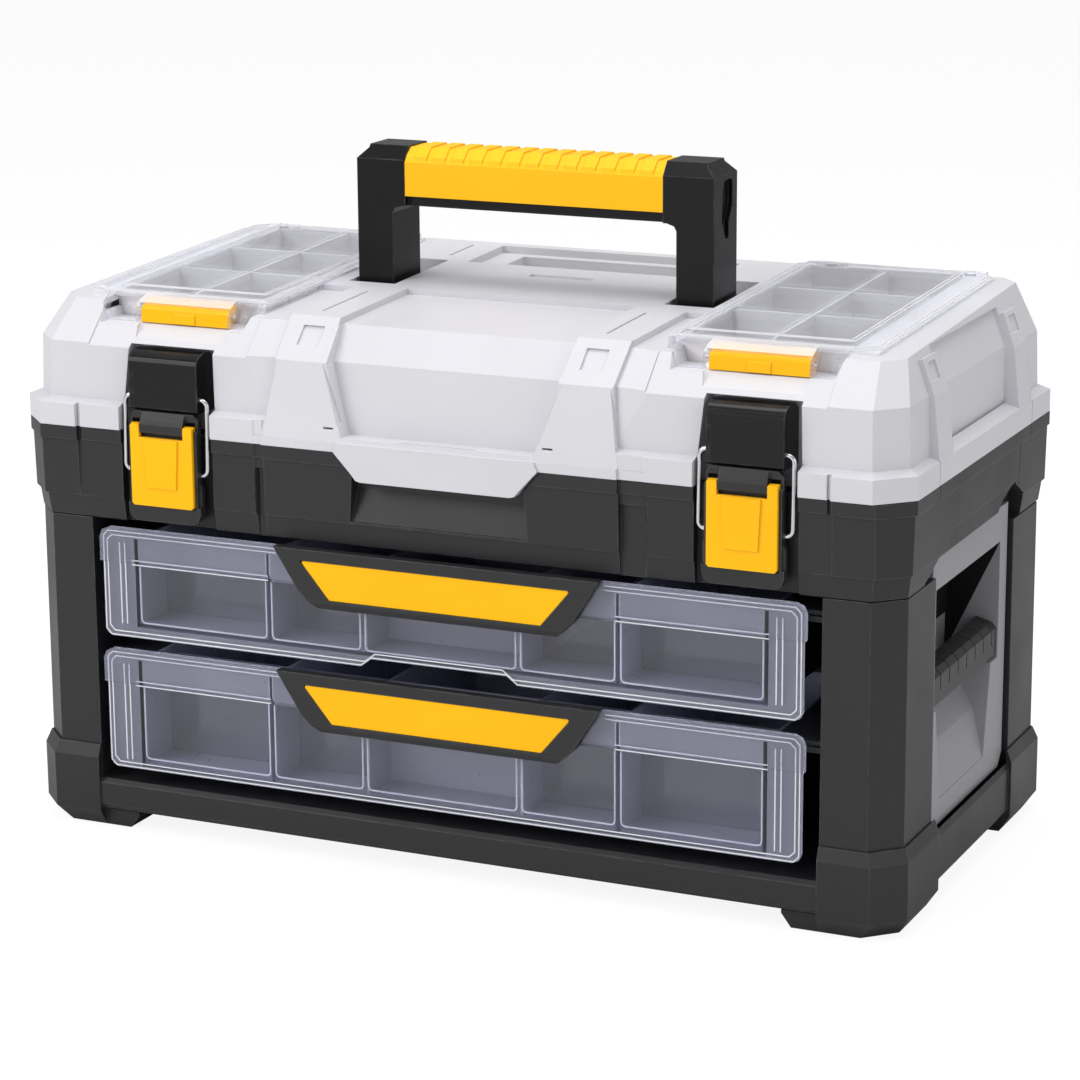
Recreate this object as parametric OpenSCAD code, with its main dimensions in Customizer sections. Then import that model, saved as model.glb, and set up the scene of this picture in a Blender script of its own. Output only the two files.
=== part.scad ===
// Portable tool box with two drawers under a deep lidded box.
// Millimetres, +Z up, front towards -Y, origin at the middle of the base on the floor.

/* [Case] */
// Width over the lid rim
case_w = 560; // [550:1:600]
// Depth over the lid rim
case_d = 285.4; // [280:0.2:300]
// Cut across each upright corner of the rim
corner_cut = 19.3; // [14:0.1:24]
// Thickness of the moulded walls
wall_t = 3; // [2.4:0.1:3.4]
// Gap left between pieces that slide or swing past each other
gap = 0.4; // [0.3:0.05:0.6]

/* [Base and posts] */
// Height of the four feet below the rails
foot_h = 12; // [8:0.5:16]
// Height of the front rail above the floor
rail_h = 31; // [28:0.5:34]
// Height of the corner cuffs above the floor
cuff_h = 51.7; // [48:0.1:56]
// Width of a post, seen from the front
post_w = 49; // [44:0.5:50]
// Depth of a post, seen from the side
post_d = 69.7; // [64:0.1:72]

/* [Upper box] */
// Height of the upper box below the lid
box_h = 56; // [50:0.5:70]
// Height of the lip under the lid
lip_h = 8.4; // [6:0.1:10]
// Height of the tapered band at the foot of the box
band_h = 13.5; // [11:0.1:15]

/* [Lid] */
// Height of the upright lid rim
rim_h = 13.3; // [11:0.1:16]
// Height from the seam to the bend of the lid wall
bend_h = 49.3; // [46:0.1:54]
// Height from the seam to the deck above the middle
deck_h = 75.4; // [72:0.1:80]
// Slope of the deck, rising to the rear
deck_tilt = 2; // [0:0.1:3]
// Drop of the front tongue below the seam
tongue_h = 16.2; // [12:0.1:20]
// Half width of the recess between the front ribs
bay_x = 75; // [70:0.5:80]

/* [Latches] */
// Distance from the middle to each latch
latch_x = 181.8; // [180:0.1:183]
// Sideways set of both latches, towards the right
latch_shift = 5.1; // [0:0.1:6]
// Width of the latch hood
hood_w = 45.5; // [42:0.1:47]
// Width of the pocket round a latch
pocket_w = 61.2; // [60:0.1:62]
// Width of the yellow pull tab
tab_w = 41.4; // [38:0.1:42]
// Thickness of the bail wire
wire_d = 2.7; // [2:0.1:3]

/* [Carrying handle] */
// Distance from the middle to the outer side of a leg
leg_x = 115.5; // [112:0.5:117]
// Width of a leg
leg_w = 23.5; // [20:0.5:24]
// Depth of a leg, front to back
leg_d = 36; // [32:0.5:38]
// Height of the handle above its pivot
handle_h = 95.2; // [90:0.2:110]
// Length of the yellow grip
grip_w = 167; // [160:1:170]
// Thickness of the grip, top to bottom
grip_h = 29.5; // [26:0.5:32]
// Diameter of the two handle pins
handle_pin_d = 8; // [6:0.5:10]

/* [Organisers] */
// Distance from the middle to the centre of an organiser tray
organiser_x = 182.5; // [181:0.5:184]
// Inside width of an organiser tray
tray_w = 97; // [90:1:98]
// Depth of an organiser tray below the deck
tray_h = 34; // [26:1:38]
// Wall of the clear trays and covers
clear_t = 1.8; // [1.4:0.1:2.2]
// Diameter of the organiser hinge pins
small_pin_d = 1.6; // [1.4:0.1:1.8]
// Distance from the middle to the centre of a yellow organiser latch
bar_x = 180.4; // [178:0.1:182]
// Sideways set of both organiser latches, towards the right
bar_shift = 3.9; // [0:0.1:4.5]
// Width of a yellow organiser latch
bar_w = 59; // [50:0.5:60]

/* [Drawers] */
// Height of the lower drawer front
lower_h = 74.3; // [66:0.1:90]
// Height of the upper drawer front
upper_h = 67; // [62:0.1:90]
// Gap between the two drawer fronts
front_gap = 8; // [7:0.1:12]
// Gap between a drawer front and a post
front_side_gap = 7.7; // [5:0.1:11]
// Room between a drawer's box and a post
slide_room = 30; // [28:0.5:35]
// Length of a drawer's box behind its front
drawer_l = 256; // [230:1:258]
// Wall of the clear drawers
drawer_t = 2.4; // [2:0.1:3]
// Half width of a drawer pull along its top
pull_x = 103; // [98:0.5:110]
// Height of a drawer pull
pull_h = 35; // [32:0.5:38]

/* [Side handles] */
// Height of the opening above the side grip
hand_h = 48; // [44:1:50]
// Depth of the recess behind the side grip
hand_d = 33; // [30:0.5:33]
// Thickness of the side grip
side_grip_t = 15; // [12:0.5:17]

/* [Hidden] */
$fn = 32;

charcoal = [0.21, 0.21, 0.22];
light_grey = [0.86, 0.86, 0.88];
mid_grey = [0.50, 0.50, 0.52];
hood_black = [0.13, 0.13, 0.135];
signal_yellow = [0.99, 0.74, 0.07];
clear_blue = [0.68, 0.70, 0.78, 0.5];
steel = [0.75, 0.75, 0.77];

// Half sizes over the lid rim
half_w = case_w / 2;
half_d = case_d / 2;
post_x = half_w - post_w;
post_y = half_d - post_d;
front_x = post_x - front_side_gap;
drawer_x = post_x - slide_room;

// Levels that stack up from the floor
floor_z = rail_h;
lower_z = rail_h + 10;
upper_z = lower_z + lower_h + front_gap;
box_z = upper_z + upper_h + 3.4;
seam_z = box_z + box_h;

// Outer rows of each ring: height, half width, half depth in front, half depth behind, corner cut
cuff_rows = [
    [0, half_w - 8, half_d - 9, half_d - 9, corner_cut - 2.5],
    [10, half_w - 1.2, half_d - 2, half_d - 2, corner_cut - 2.5],
    [cuff_h - 7.7, half_w - 1.2, half_d - 2, half_d - 2, corner_cut - 2.5],
    [cuff_h, half_w - 4, half_d - 5, half_d - 5, corner_cut - 3]];
rail_rows = [
    [foot_h, half_w - 5, half_d - 5, half_d - 5, corner_cut],
    [foot_h + 3, half_w - 3, half_d - 3.2, half_d - 3.2, corner_cut],
    [rail_h - 2.5, half_w - 3, half_d - 3.2, half_d - 3.2, corner_cut],
    [rail_h, half_w - 5.5, half_d - 5.7, half_d - 5.7, corner_cut]];
post_rows = [
    [floor_z, half_w - 5, half_d - 6, half_d - 6, corner_cut - 3.3],
    [box_z, half_w - 5.4, half_d - 6.3, half_d - 6.3, corner_cut - 3.3]];
box_band = [
    [0, half_w - 6.4, half_d - 7.2, half_d - 5.2, corner_cut - 4],
    [0.9, half_w - 5.4, half_d - 6.2, half_d - 4.2, corner_cut - 4],
    [band_h + 1, half_w - 3.6, half_d - 4.6, half_d - 2.6, corner_cut - 3.3]];
box_wall = [
    [band_h, half_w - 2.4, half_d - 3.4, half_d - 1.4, corner_cut - 3.3],
    [box_h - lip_h + 1, half_w - 1.6, half_d - 2.6, half_d - 1, corner_cut - 2.6]];
box_lip = [
    [box_h - lip_h, half_w - 0.2, half_d - 1.2, half_d - 0.2, corner_cut - 1.4],
    [box_h - gap, half_w - 0.2, half_d - 1.2, half_d - 0.2, corner_cut - 1.4]];

// The lid in its own frame, with the seam at height 0
bend_a = half_w - 7.6;
bend_b = half_d - 9.4;
top_z = deck_h + 9;
top_rise = top_z - bend_h;
side_in = 0.369;
front_in = 1.045;
rear_in = 0.505;
lid_rows = [
    [0, half_w, half_d, half_d, corner_cut],
    [rim_h, half_w, half_d, half_d, corner_cut],
    [rim_h + 2.7, half_w - 6.6, half_d - 8.4, half_d - 8.4, corner_cut - 3.3],
    [bend_h, bend_a, bend_b, bend_b, corner_cut - 3.7],
    [top_z, bend_a - side_in * top_rise, bend_b - front_in * top_rise,
        bend_b - rear_in * top_rise, corner_cut - 9.8]];
deck_front = half_d - 32.7;

// Half width of the middle panel in the front of the rim and the box
middle_x = 111.7;

// Lid hinge at the rear, level with the seam
hinge_r = 3.6;
hinge_y = half_d + 0.7;
hinge_z = seam_z - gap / 2;
hinge_pin_d = 3;
hinge_at = 160;
hinge_lid_w = 30;
hinge_box_w = 14;

// Steps in the front of the rim and the box, beside the middle panel and beside the latches
rib_out = middle_x - 0.5;
outer_groove_x = 234.2;
groove_w = 2.6;
block_x = latch_x - 58.2;
block_y = -half_d + 1.3;
rim_bend = 5.5;

// Latch places in the lid's frame, seen from a latch's own middle
pocket_y = -half_d + 23.7;
pocket_lip = bend_h + 3.1;
ramp_top = deck_h - 15.7;
pocket_left = 26.3;
pocket_right = 29.4;
ramp_left = 26.6;
ramp_right = 31;
ramp_back_left = 32.3;
ramp_set = 2.5;
slope_in = 125;
slope_out = 231;
slope_set = 1.1;
valley_d = 3.5;
valley_in = middle_x - 4.2;
valley_back = -31;
valley_set = 3;
valley_turn = 9.4;
slit_shift = 3.5;
ramp_y = -half_d + 28.2;
hood_z = 13.6;
hood_front = -half_d + 1.4;
hood_top = hood_z + 35;
bail_y = -half_d + 4.7;
bail_z = hood_z + 8.1;
bail_lean = 1.9;
wire_bottom = -22.9;
wire_x = hood_w / 2 + 4.7;
wire_turn = 4;
plate_front = -half_d - 0.8;
plate_back = plate_front + 5.7;
plate_w = hood_w + 2.9;
plate_top = hood_z - 0.4;
plate_bottom = -52.5;
recess_y = -half_d + 10.2;
barrel_w = 28.7;
barrel_bottom = 0.9;
tab_t = 2.9;
tab_front = plate_front - 2;
tab_y = tab_front + 3.3;
tab_z = 4.2;
tab_pin_d = 2;
tab_knuckle_r = 2.2;
tab_bottom = -42.8;
tab_top = -1.7;

// Handle places in the lid's frame
pivot_y = 9.5;
pivot_z = deck_h - 14;
heel_r = leg_d / 2;
well_t = 2.5;
well_in = 4.4;
well_out = 3;
well_front = pivot_y - 25.5;
well_back = pivot_y + heel_r + 31;
bracket_h = 6.2;
handle_bevel = 8;

// Organiser places along the deck
tray_front = -95;
tray_back = 107;
cover_front = -103.5;
cover_back = 109;
cover_in = 55.5;
cover_out = 66.5;
cover_z = clear_t + 0.3;
organiser_hinge_y = 112.6;
organiser_hinge_z = 1.8;
organiser_knuckle_r = 2.2;
brow_y = cover_front - 3.5;
apron_y = cover_front - 11.3;
window_top = 2;
skirt_z = 0.5 - valley_d;
apron_foot_y = apron_y - 2.7;
apron_bottom = -10.4;
bar_pin_y = apron_y + 4;
bar_pin_z = -5;
bar_bottom = -11.1;
ear_x = bar_w / 2 + gap;
ear_t = 2.4;

// Drawer places
front_y = -half_d + 1.7;
front_t = 3;
slide_gap = 0.3;
flange_h = 9;
rim_band = 21;
ledge_d = 3.6;
pull_y = -half_d - 4.3;
drawer_back = front_y + front_t + drawer_l;
runner_x = drawer_x + 4;

// Side handle places
panel_x = half_w - 8;
cup_y = [-post_y + 6, post_y - 14];
panel_top = box_z + 11.4;
hand_z = 113;
hand_top = hand_z + 23 + hand_h;
scoop_z = hand_z - 56;
cup_z = hand_z - 27;

// ---------- helpers ----------

// An outline in X and Z, drawn from y0 to y1
module along_y(pts, y0, y1)
    translate([0, y1, 0]) rotate([90, 0, 0]) linear_extrude(height = y1 - y0) polygon(pts);

// An outline in Y and Z, drawn from x0 to x1
module along_x(pts, x0, x1)
    translate([x0, 0, 0]) rotate([90, 0, 90]) linear_extrude(height = x1 - x0) polygon(pts);

// A box between two opposite corners
module span(a, b)
    translate(a) cube(b - a);

// A box of full width w in X about the middle
module wide(w, y0, y1, z0, z1)
    span([-w / 2, y0, z0], [w / 2, y1, z1]);

// A round rod along X
module rod_x(d, x0, x1, y, z)
    translate([x0, y, z]) rotate([0, 90, 0]) cylinder(d = d, h = x1 - x0);

// The same shape on both sides of the middle
module both_x() {
    children();
    mirror([1, 0, 0]) children();
}

module both_y() {
    children();
    mirror([0, 1, 0]) children();
}

// The right-hand shape, or its mirror image on the left
module on_side(s)
    mirror([s < 0 ? 1 : 0, 0, 0]) children();

// Points mirrored about the middle line
function mirrored(pts) = concat(pts, [for (i = [len(pts) - 1:-1:0]) [-pts[i][0], pts[i][1]]]);

// An arc of n steps in place of the corner b of the line a, b, c
function corner_arc(a, b, c, r, n) =
    let (u = (a - b) / norm(a - b), v = (c - b) / norm(c - b), w = u + v)
    let (half = acos(u * v) / 2, mid = b + w / norm(w) * r / sin(half))
    let (p = b + u * r / tan(half) - mid, q = b + v * r / tan(half) - mid)
    [for (i = [0:n]) let (d = p * (n - i) + q * i) mid + d / norm(d) * r];

// An outline whose corners are all rounded to radius r
function rounded(pts, r, n = 4) =
    let (k = len(pts))
    [for (i = [0:k - 1]) each corner_arc(pts[(i + k - 1) % k], pts[i], pts[(i + 1) % k], r, n)];

// Row a moved on by height t, in line with row b
function beyond(a, b, t) = a + (a - b) / abs(a[0] - b[0]) * t;

// Eight-sided block through rows of height, half width, front, rear and corner cut.
// The corner faces bend a little above the walls, so that no more than three faces meet in a point.
module ring_block(rows) {
    n = len(rows);
    all = concat([beyond(rows[0], rows[1], 1)], rows, [beyond(rows[n - 1], rows[n - 2], 1)]);
    up = [0:n + 1];
    down = [n + 1:-1:0];
    lift = 0.1;
    front = [for (r = all) [(r[1] + r[2] - r[4]) / sqrt(2), r[0] + lift]];
    rear = [for (r = all) [(r[1] + r[3] - r[4]) / sqrt(2), r[0] + lift]];
    intersection() {
        span([-case_w, -case_d, rows[0][0]], [case_w, case_d, rows[n - 1][0]]);
        along_y(mirrored([for (r = all) [r[1], r[0]]]), -case_d, case_d);
        along_x(concat([for (i = up) [all[i][3], all[i][0]]], [for (i = down) [-all[i][2], all[i][0]]]),
            -case_w, case_w);
        rotate([0, 0, 45])
            along_y(concat([for (i = up) rear[i]],
                [for (i = down) [-front[i][0], front[i][1]]]), -case_w, case_w);
        rotate([0, 0, -45])
            along_y(concat([for (i = up) front[i]],
                [for (i = down) [-rear[i][0], rear[i][1]]]), -case_w, case_w);
    }
}

// The same rows moved inwards by t
function inset(rows, t) = [for (r = rows) [r[0], r[1] - t, r[2] - t, r[3] - t, r[4] - 0.586 * t]];

// ---------- base ----------

module corner_zones(x, y, z0, z1)
    both_x() both_y() span([x, y, z0], [case_w, case_d, z1]);

module base_frame() color(charcoal) {
    rib_t = 2.4;
    difference() {
        union() {
            difference() {
                union() {
                    intersection() {
                        ring_block(cuff_rows);
                        corner_zones(post_x, post_y - 4, -1, cuff_h + 1);
                    }
                    both_x() side_rail();
                }
                base_room();
            }
            ring_block(rail_rows);
            both_y() both_x() foot_step();
        }
        base_underside();
    }
    for (x = [-170:85:170])
        span([x - rib_t / 2, -half_d + 8, foot_h + 8], [x + rib_t / 2, half_d - 8, rail_h - 1]);
    for (y = [-66:66:66])
        wide(case_w - 16, y - rib_t / 2, y + rib_t / 2, foot_h + 8, rail_h - 1);
}

// Rail between the cuffs on one side, with a wide bevel on top
module side_rail()
    intersection() {
        along_y([[half_w - 14, foot_h], [half_w - 5, foot_h], [half_w - 3, foot_h + 3],
            [half_w - 3, cuff_h - 12], [half_w - 7.6, cuff_h - 2], [half_w - 14, cuff_h - 2]],
            -post_y, post_y);
        span([0, -post_y, 0], [case_w, post_y, cuff_h]);
    }

// The toe of a foot, sloping up to the front rail
module foot_step()
    along_y([[post_x - 17, 0], [post_x + 10, 0], [post_x + 10, foot_h + 2], [post_x - 23, foot_h + 2],
        [post_x - 23, foot_h - 4]], 90, half_d - 9);

// Space above the floor plate for the posts and the drawers
module base_room()
    ring_block(inset([
        [rail_h - 1.2, half_w - 5, half_d - 6, half_d - 6, corner_cut - 3.3],
        [cuff_h + 5, half_w - 5, half_d - 6, half_d - 6, corner_cut - 3.3]], -0.2));

// Hollow under the floor plate, between the rails
module base_underside()
    ring_block([
        [foot_h - 2, half_w - 9, half_d - 9, half_d - 9, corner_cut],
        [rail_h - wall_t, half_w - 9, half_d - 9, half_d - 9, corner_cut]]);

// ---------- drawer housing ----------

module drawer_housing() color(charcoal) {
    side_t = wall_t;
    difference() {
        union() {
            intersection() {
                ring_block(post_rows);
                corner_zones(post_x, post_y, 0, case_w);
            }
            both_x()
                span([post_x, -post_y - 1, floor_z], [post_x + side_t, post_y + 1, box_z]);
            wide(2 * post_x + 2, half_d - 6.6 - wall_t, half_d - 6.6, floor_z, box_z);
        }
        intersection() {
            ring_block(inset(concat([[floor_z - 2, half_w - 5, half_d - 6, half_d - 6,
                corner_cut - 3.3]], post_rows),
                wall_t));
            corner_zones(post_x + side_t, post_y + wall_t, floor_z - 1, box_z - wall_t);
        }
        both_x() for (y = [-1, 1])
            span([post_x + side_t, y > 0 ? post_y + wall_t : -half_d, floor_z - 1],
                [post_x + side_t + 30, y > 0 ? half_d - 10 : -post_y - wall_t, floor_z + 1]);
    }
    for (z = [runner_z(upper_z, upper_h), runner_z(lower_z, lower_h)])
        both_x() runner(z);
}

// Height of the top of a runner
function runner_z(z, h) = z + h - flange_h - slide_gap;

// Ledge that carries one side of a drawer
module runner(z) {
    span([runner_x, -half_d + 12, z - wall_t], [post_x + 0.5, half_d - 9, z]);
    for (y = [-100, 0, 100])
        along_y([[runner_x + 4, z - wall_t], [post_x + 0.5, z - wall_t], [post_x + 0.5, z - 14]],
            y - 1.2, y + 1.2);
}

// ---------- upper box ----------

module upper_box() color(charcoal) {
    difference() {
        union() {
            translate([0, 0, box_z]) difference() {
                union() {
                    ring_block(box_band);
                    ring_block(box_wall);
                    ring_block(box_lip);
                }
                box_front_cuts();
                both_x() box_side_cuts();
            }
            both_x() box_knuckles();
        }
        translate([0, 0, box_z]) box_room();
        both_x() hinge_clearance(hinge_lid_w, -hinge_lid_w / 2);
        both_x() rod_x(hinge_pin_d + 0.1, hinge_at - 40, hinge_at + 40, hinge_y, hinge_z);
    }
}

// Two knuckles of the lid hinge that stand on the box
module box_knuckles()
    for (s = [-1, 1]) {
        x = hinge_at + s * (hinge_lid_w + hinge_box_w) / 2 + s * gap - hinge_box_w / 2;
        rod_x(2 * hinge_r, x, x + hinge_box_w, hinge_y, hinge_z);
        span([x, half_d - 3.5, hinge_z - hinge_r], [x + hinge_box_w, hinge_y, hinge_z - gap]);
    }

// Room for a knuckle of the other half, of width w and starting at x from the hinge's middle
module hinge_clearance(w, x)
    rod_x(2 * hinge_r + 2 * gap, hinge_at + x - gap, hinge_at + x + w + gap, hinge_y, hinge_z);

// Recesses in the front of the box, seen from its floor
module box_front_cuts() {
    for (s = [-1, 1]) on_side(s) {
        x = latch_x + s * latch_shift;
        e = block_x + s * latch_shift;
        face_z = box_h - lip_h;
        span([x - pocket_w / 2, -case_d, -1], [x + pocket_w / 2, recess_y, box_h + 1]);
        span([middle_x, -case_d, face_z], [outer_groove_x + groove_w, block_y + 1.2, box_h + 1]);
        span([middle_x, -case_d, -1], [outer_groove_x + groove_w, block_y + 2.6, face_z + 0.1]);
        span([outer_groove_x, -case_d, face_z], [outer_groove_x + groove_w, block_y + 3, box_h + 1]);
        groove_zone(e, block_y + 1.2, 0.8, face_z, box_h + 1);
        groove_zone(e, block_y + 2.6, 0.8, box_h - 14.7, face_z + 0.1);
        groove_zone(e, block_y + 2.6, 3.2, -1, box_h - 14.7);
    }
    scoop(0);
    // Room for the tongue of the lid
    along_y(tongue_outline(1, box_h), -case_d, -half_d + 7);
    // Fine grooves that run on from the lid's side ribs
    both_x() both_y()
        span([half_w - 1.8, 85, box_h - lip_h - 3], [case_w, 86, box_h + 1]);
}

// Recess between the middle panel and a block that starts at x = e, deeper than face y by t
module groove_zone(e, y, t, z0, z1)
    translate([0, 0, z0]) linear_extrude(height = z1 - z0)
        polygon([[middle_x, -case_d], [middle_x, y + t], [e - 2, y + t], [e, y - 0.2], [e, -case_d]]);

// Finger recess under the tongue, widened by g for the wall behind it
module scoop(g)
    intersection() {
        along_y(mirrored([[54 + g, box_h - 10], [56 + g, band_h + 1.5], [50 + g, band_h + 1.5 - g]]),
            -case_d, 0);
        along_x([[-case_d, band_h + 1.5 - g], [-half_d + 5 + g, band_h + 1.5 - g],
            [-half_d + 12 + g, box_h - 22], [-half_d + 12 + g, box_h + 1], [-case_d, box_h + 1]],
            -case_w, case_w);
    }

// Raised lower edge over the side panel, with a notch behind it
module box_side_cuts() {
    along_x([[-93, -1], [-93, 2], [-88.3, 3.8], [-72.8, 11.8], [37, 12.4], [42, 16.8], [64.8, 23.8],
        [86, 12.3], [85, -1]], panel_x - 6, case_w);
    along_x([[-62, -1], [-62, 20], [-57, 24.5], [65, 24.9], [65, -1]], half_w - 4, case_w);
    span([half_w - 3, 69.6, 22], [case_w, 70.6, box_h - lip_h]);
}

// Inside of the box
module box_room() {
    low = 26.8;
    room_x = half_w - 2.6 - wall_t;
    room_y = half_d - 3 - wall_t;
    cut = corner_cut - 3;
    difference() {
        union() {
            ring_block([[wall_t, half_w - 17, half_d - 11, half_d - 11, cut],
                [low + 1, half_w - 17, half_d - 11, half_d - 11, cut]]);
            ring_block([[low, room_x, room_y, room_y, cut], [box_h + 1, room_x, room_y, room_y, cut]]);
        }
        for (s = [-1, 1]) on_side(s) {
            x = latch_x + s * latch_shift;
            span([x - pocket_w / 2 - wall_t, -case_d, -1],
                [x + pocket_w / 2 + wall_t, recess_y + wall_t, box_h + 2]);
        }
        scoop(wall_t);
        wide(2 * 58 + 2 * wall_t, -case_d, -half_d + 12 + wall_t, box_h - 12, box_h + 2);
        wide(2 * block_x + 2 * wall_t + 12, -case_d, block_y + 5.8 + wall_t, -1, box_h + 2);
    }
}

// ---------- lid ----------

// Children placed in the lid's frame, with the seam at height 0
module at_lid()
    translate([0, 0, seam_z]) children();

// Children placed on the sloping deck
module on_deck()
    translate([0, 0, deck_h]) rotate([deck_tilt, 0, 0]) children();

// Outline of the tongue in X and Z, grown by g, with its top at height h above the box floor
function tongue_outline(g, h) = let (r = tongue_h + g)
    [[-64 - g, h + 2], [-64 - g, h], [-52.5 - g, h - r + 4], [-50 - g * 0.6, h - r + 0.8],
     [-47, h - r], [47, h - r], [50 + g * 0.6, h - r + 0.8], [52.5 + g, h - r + 4],
     [64 + g, h], [64 + g, h + 2]];

module lid_shell() color(light_grey) {
    at_lid() difference() {
        union() {
            difference() {
                ring_block(lid_rows);
                front_bay(0);
                rim_steps();
                both_x() side_bay();
            }
            both_x() both_y() front_rib();
            both_x() both_y() side_rib();
            tongue();
            both_x() lid_knuckle();
        }
        // Everything above the deck
        on_deck() span([-case_w, -case_d, 0], [case_w, case_d, case_w]);
        deck_cuts(0);
        both_x() leg_well(0);
        both_x() organiser_opening();
        for (s = [-1, 1]) latch_pocket(s, 0);
        both_x() translate([0, 0, -seam_z]) {
            hinge_clearance(hinge_box_w, -hinge_lid_w / 2 - gap - hinge_box_w);
            hinge_clearance(hinge_box_w, hinge_lid_w / 2 + gap);
            rod_x(hinge_pin_d + 0.1, hinge_at - 40, hinge_at + 40, hinge_y, hinge_z);
        }
        both_x() rib_marks();
        rib_slits();
        both_x() slope_panel();
        both_x() valley(0);
        // Slit in the ledge over the tongue
        wide(48, -half_d + 4, -half_d + 5.4, 5, 12);
        difference() {
            lid_room();
            front_bay(wall_t);
            for (s = [-1, 1]) latch_pocket(s, wall_t);
            deck_cuts(wall_t);
            both_x() leg_well(well_t);
            both_x() valley(wall_t);
            both_x() both_y() rib_backing();
            wide(130, -case_d, -half_d + 3 + wall_t, -1, rim_h);
            both_x() span([100, -case_d, -1], [block_x + 8, block_y + 2.2 + wall_t, rim_h]);
        }
        both_x() rod_x(handle_pin_d + 0.1, leg_x - leg_w - well_in - well_t - 1,
            leg_x + well_out + well_t + 1, pivot_y, pivot_z);
    }
}

// Inside of the lid shell
module lid_room()
    intersection() {
        ring_block(inset(concat([[-1, half_w, half_d, half_d, corner_cut]], lid_rows), wall_t));
        on_deck() span([-case_w, -case_d, -case_w], [case_w, case_d, -wall_t]);
    }

// Recess between the front ribs, grown by g
module front_bay(g)
    intersection() {
        along_y([[-60.5 - g, 8 - g], [60.5 + g, 8 - g], [bay_x - 2.5 + g, bend_h - 0.5],
            [bay_x - 0.5 + g, deck_h],
            [bay_x - 0.5 + g, case_w], [-bay_x + 0.5 - g, case_w], [-bay_x + 0.5 - g, deck_h],
            [-bay_x + 2.5 - g, bend_h - 0.5]], -case_d, 0);
        along_x([[-case_d, 8 - g], [-half_d + 13.1 + g, 8 - g], [-half_d + 18.1 + g, bend_h - 0.5],
            [-deck_front + 1.5 + g, deck_h - 7 - g / 2], [-deck_front + 1.5 + g, case_w],
                [-case_d, case_w]],
            -case_w, case_w);
    }

// Front rib that flares out to the rim
module front_rib()
    intersection() {
        along_x([[-half_d + 14, 4], [-half_d + 2, 4], [-half_d + 2, 7], [-bend_b, bend_h],
            [-bend_b + 5, bend_h + 4]], 0, case_w);
        along_y([[60, 4], [63, 4], [rib_out, 4], [rib_out, 7], [rib_out - 6.7, bend_h],
            [rib_out - 6.7, bend_h + 5],
            [bay_x, bend_h + 5], [bay_x, bend_h], [61, 8]], -case_d, 0);
    }

// Solid foot behind the flare of a rib
module rib_backing()
    span([bay_x - 3, -case_d, 0], [rib_out, -bend_b + wall_t - 2, rim_h + 3.7]);

// Side rib that flares out to the rim
module side_rib()
    intersection() {
        along_y([[half_w - 12, 4], [half_w, 4], [half_w, 6.5], [bend_a + 3, bend_h],
            [bend_a - 4.2, deck_h - 6],
            [half_w - 22, deck_h - 10], [half_w - 12, bend_h]], 61.5, 86);
        span([0, 61.5, 0], [case_w, 86, case_w]);
    }

// Shallow panel between the side ribs
module side_bay()
    along_y([[half_w - 9.6, rim_h + 3], [half_w - 10.2, bend_h + 0.5], [half_w - 19, deck_h - 3],
        [case_w, deck_h - 3], [case_w, rim_h + 0.6], [half_w - 0.5, rim_h + 0.6]], -61.5, 61.5);

// Front tongue that hangs over the seam
module tongue() {
    along_y(tongue_outline(0, 0), -half_d - 1, -half_d + 6.2);
    along_y([[-64, 0], [64, 0], [62, rim_bend], [-62, rim_bend]], -half_d - 1, -half_d + 14);
}

// Steps and fine grooves in the rim
module rim_steps() {
    along_x([[-case_d, rim_bend], [-half_d + 1.6, rim_bend], [-half_d + 2, rim_bend + 1.5],
        [-bend_b, bend_h],
        [-case_d, bend_h]], -middle_x, middle_x);
    for (s = [-1, 1]) on_side(s) {
        e = block_x + s * latch_shift;
        span([middle_x, -case_d, -1], [outer_groove_x + groove_w, block_y, rim_h + 4]);
        span([outer_groove_x, -case_d, -1], [outer_groove_x + groove_w, block_y + 1.6, rim_h + 4]);
        groove_zone(e, block_y, 0.3, -1, rim_bend);
        groove_zone(e, block_y, 0.8, rim_bend - 0.1, rim_h + 4);
    }
    both_x() both_y() span([half_w - 1.2, 86, -1], [case_w, 87, rim_h + 2]);
}

// Knuckle of the lid hinge that stands on the lid
module lid_knuckle() translate([0, 0, -seam_z]) {
    x = hinge_at - hinge_lid_w / 2;
    rod_x(2 * hinge_r, x, x + hinge_lid_w, hinge_y, hinge_z);
    span([x, half_d - 3.5, hinge_z + gap], [x + hinge_lid_w, hinge_y, hinge_z + hinge_r]);
}

// Recesses in the deck, grown by g
module deck_cuts(g) on_deck() {
    wide(2 * bay_x - 1 + 2 * g, -half_d, -25 + g, -3.6 - g, 20);
    wide(2 * bay_x - 1 + 2 * g, 58 - g, 110 + g, -4.5 - g, 20);
    wide(2 * 57 + 2 * g, 66 - g, 103 + g, -14 - g, 20);
    wide(41, 30, 36, -1.2 - g, 20);
}

// Well that a handle leg turns in, grown by g
module leg_well(g)
    span([leg_x - leg_w - well_in - g, well_front - g, pivot_z - heel_r - 1.5 - g],
        [leg_x + well_out + g, well_back + g, case_w]);

// Opening that an organiser tray drops into, with its front notch and its hinge trough
module organiser_opening() {
    on_deck() {
        span([organiser_x - tray_w / 2 - clear_t - gap, tray_front - gap, -case_w],
            [organiser_x + tray_w / 2 + clear_t + gap, tray_back + gap, 20]);
        span([organiser_x - 51, organiser_hinge_y - organiser_knuckle_r - 0.5, -0.9],
            [organiser_x + 62, organiser_hinge_y + organiser_knuckle_r + 0.5, 20]);
    }
    intersection() {
        along_y([[organiser_x - 47.6, ramp_top], [organiser_x + 47.1, ramp_top],
            [organiser_x + 52.5, deck_h + 5],
            [organiser_x - 53.5, deck_h + 5]], -case_d, tray_front + 1);
        span([0, -case_d, 0], [case_w, 0, case_w]);
    }
}

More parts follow.
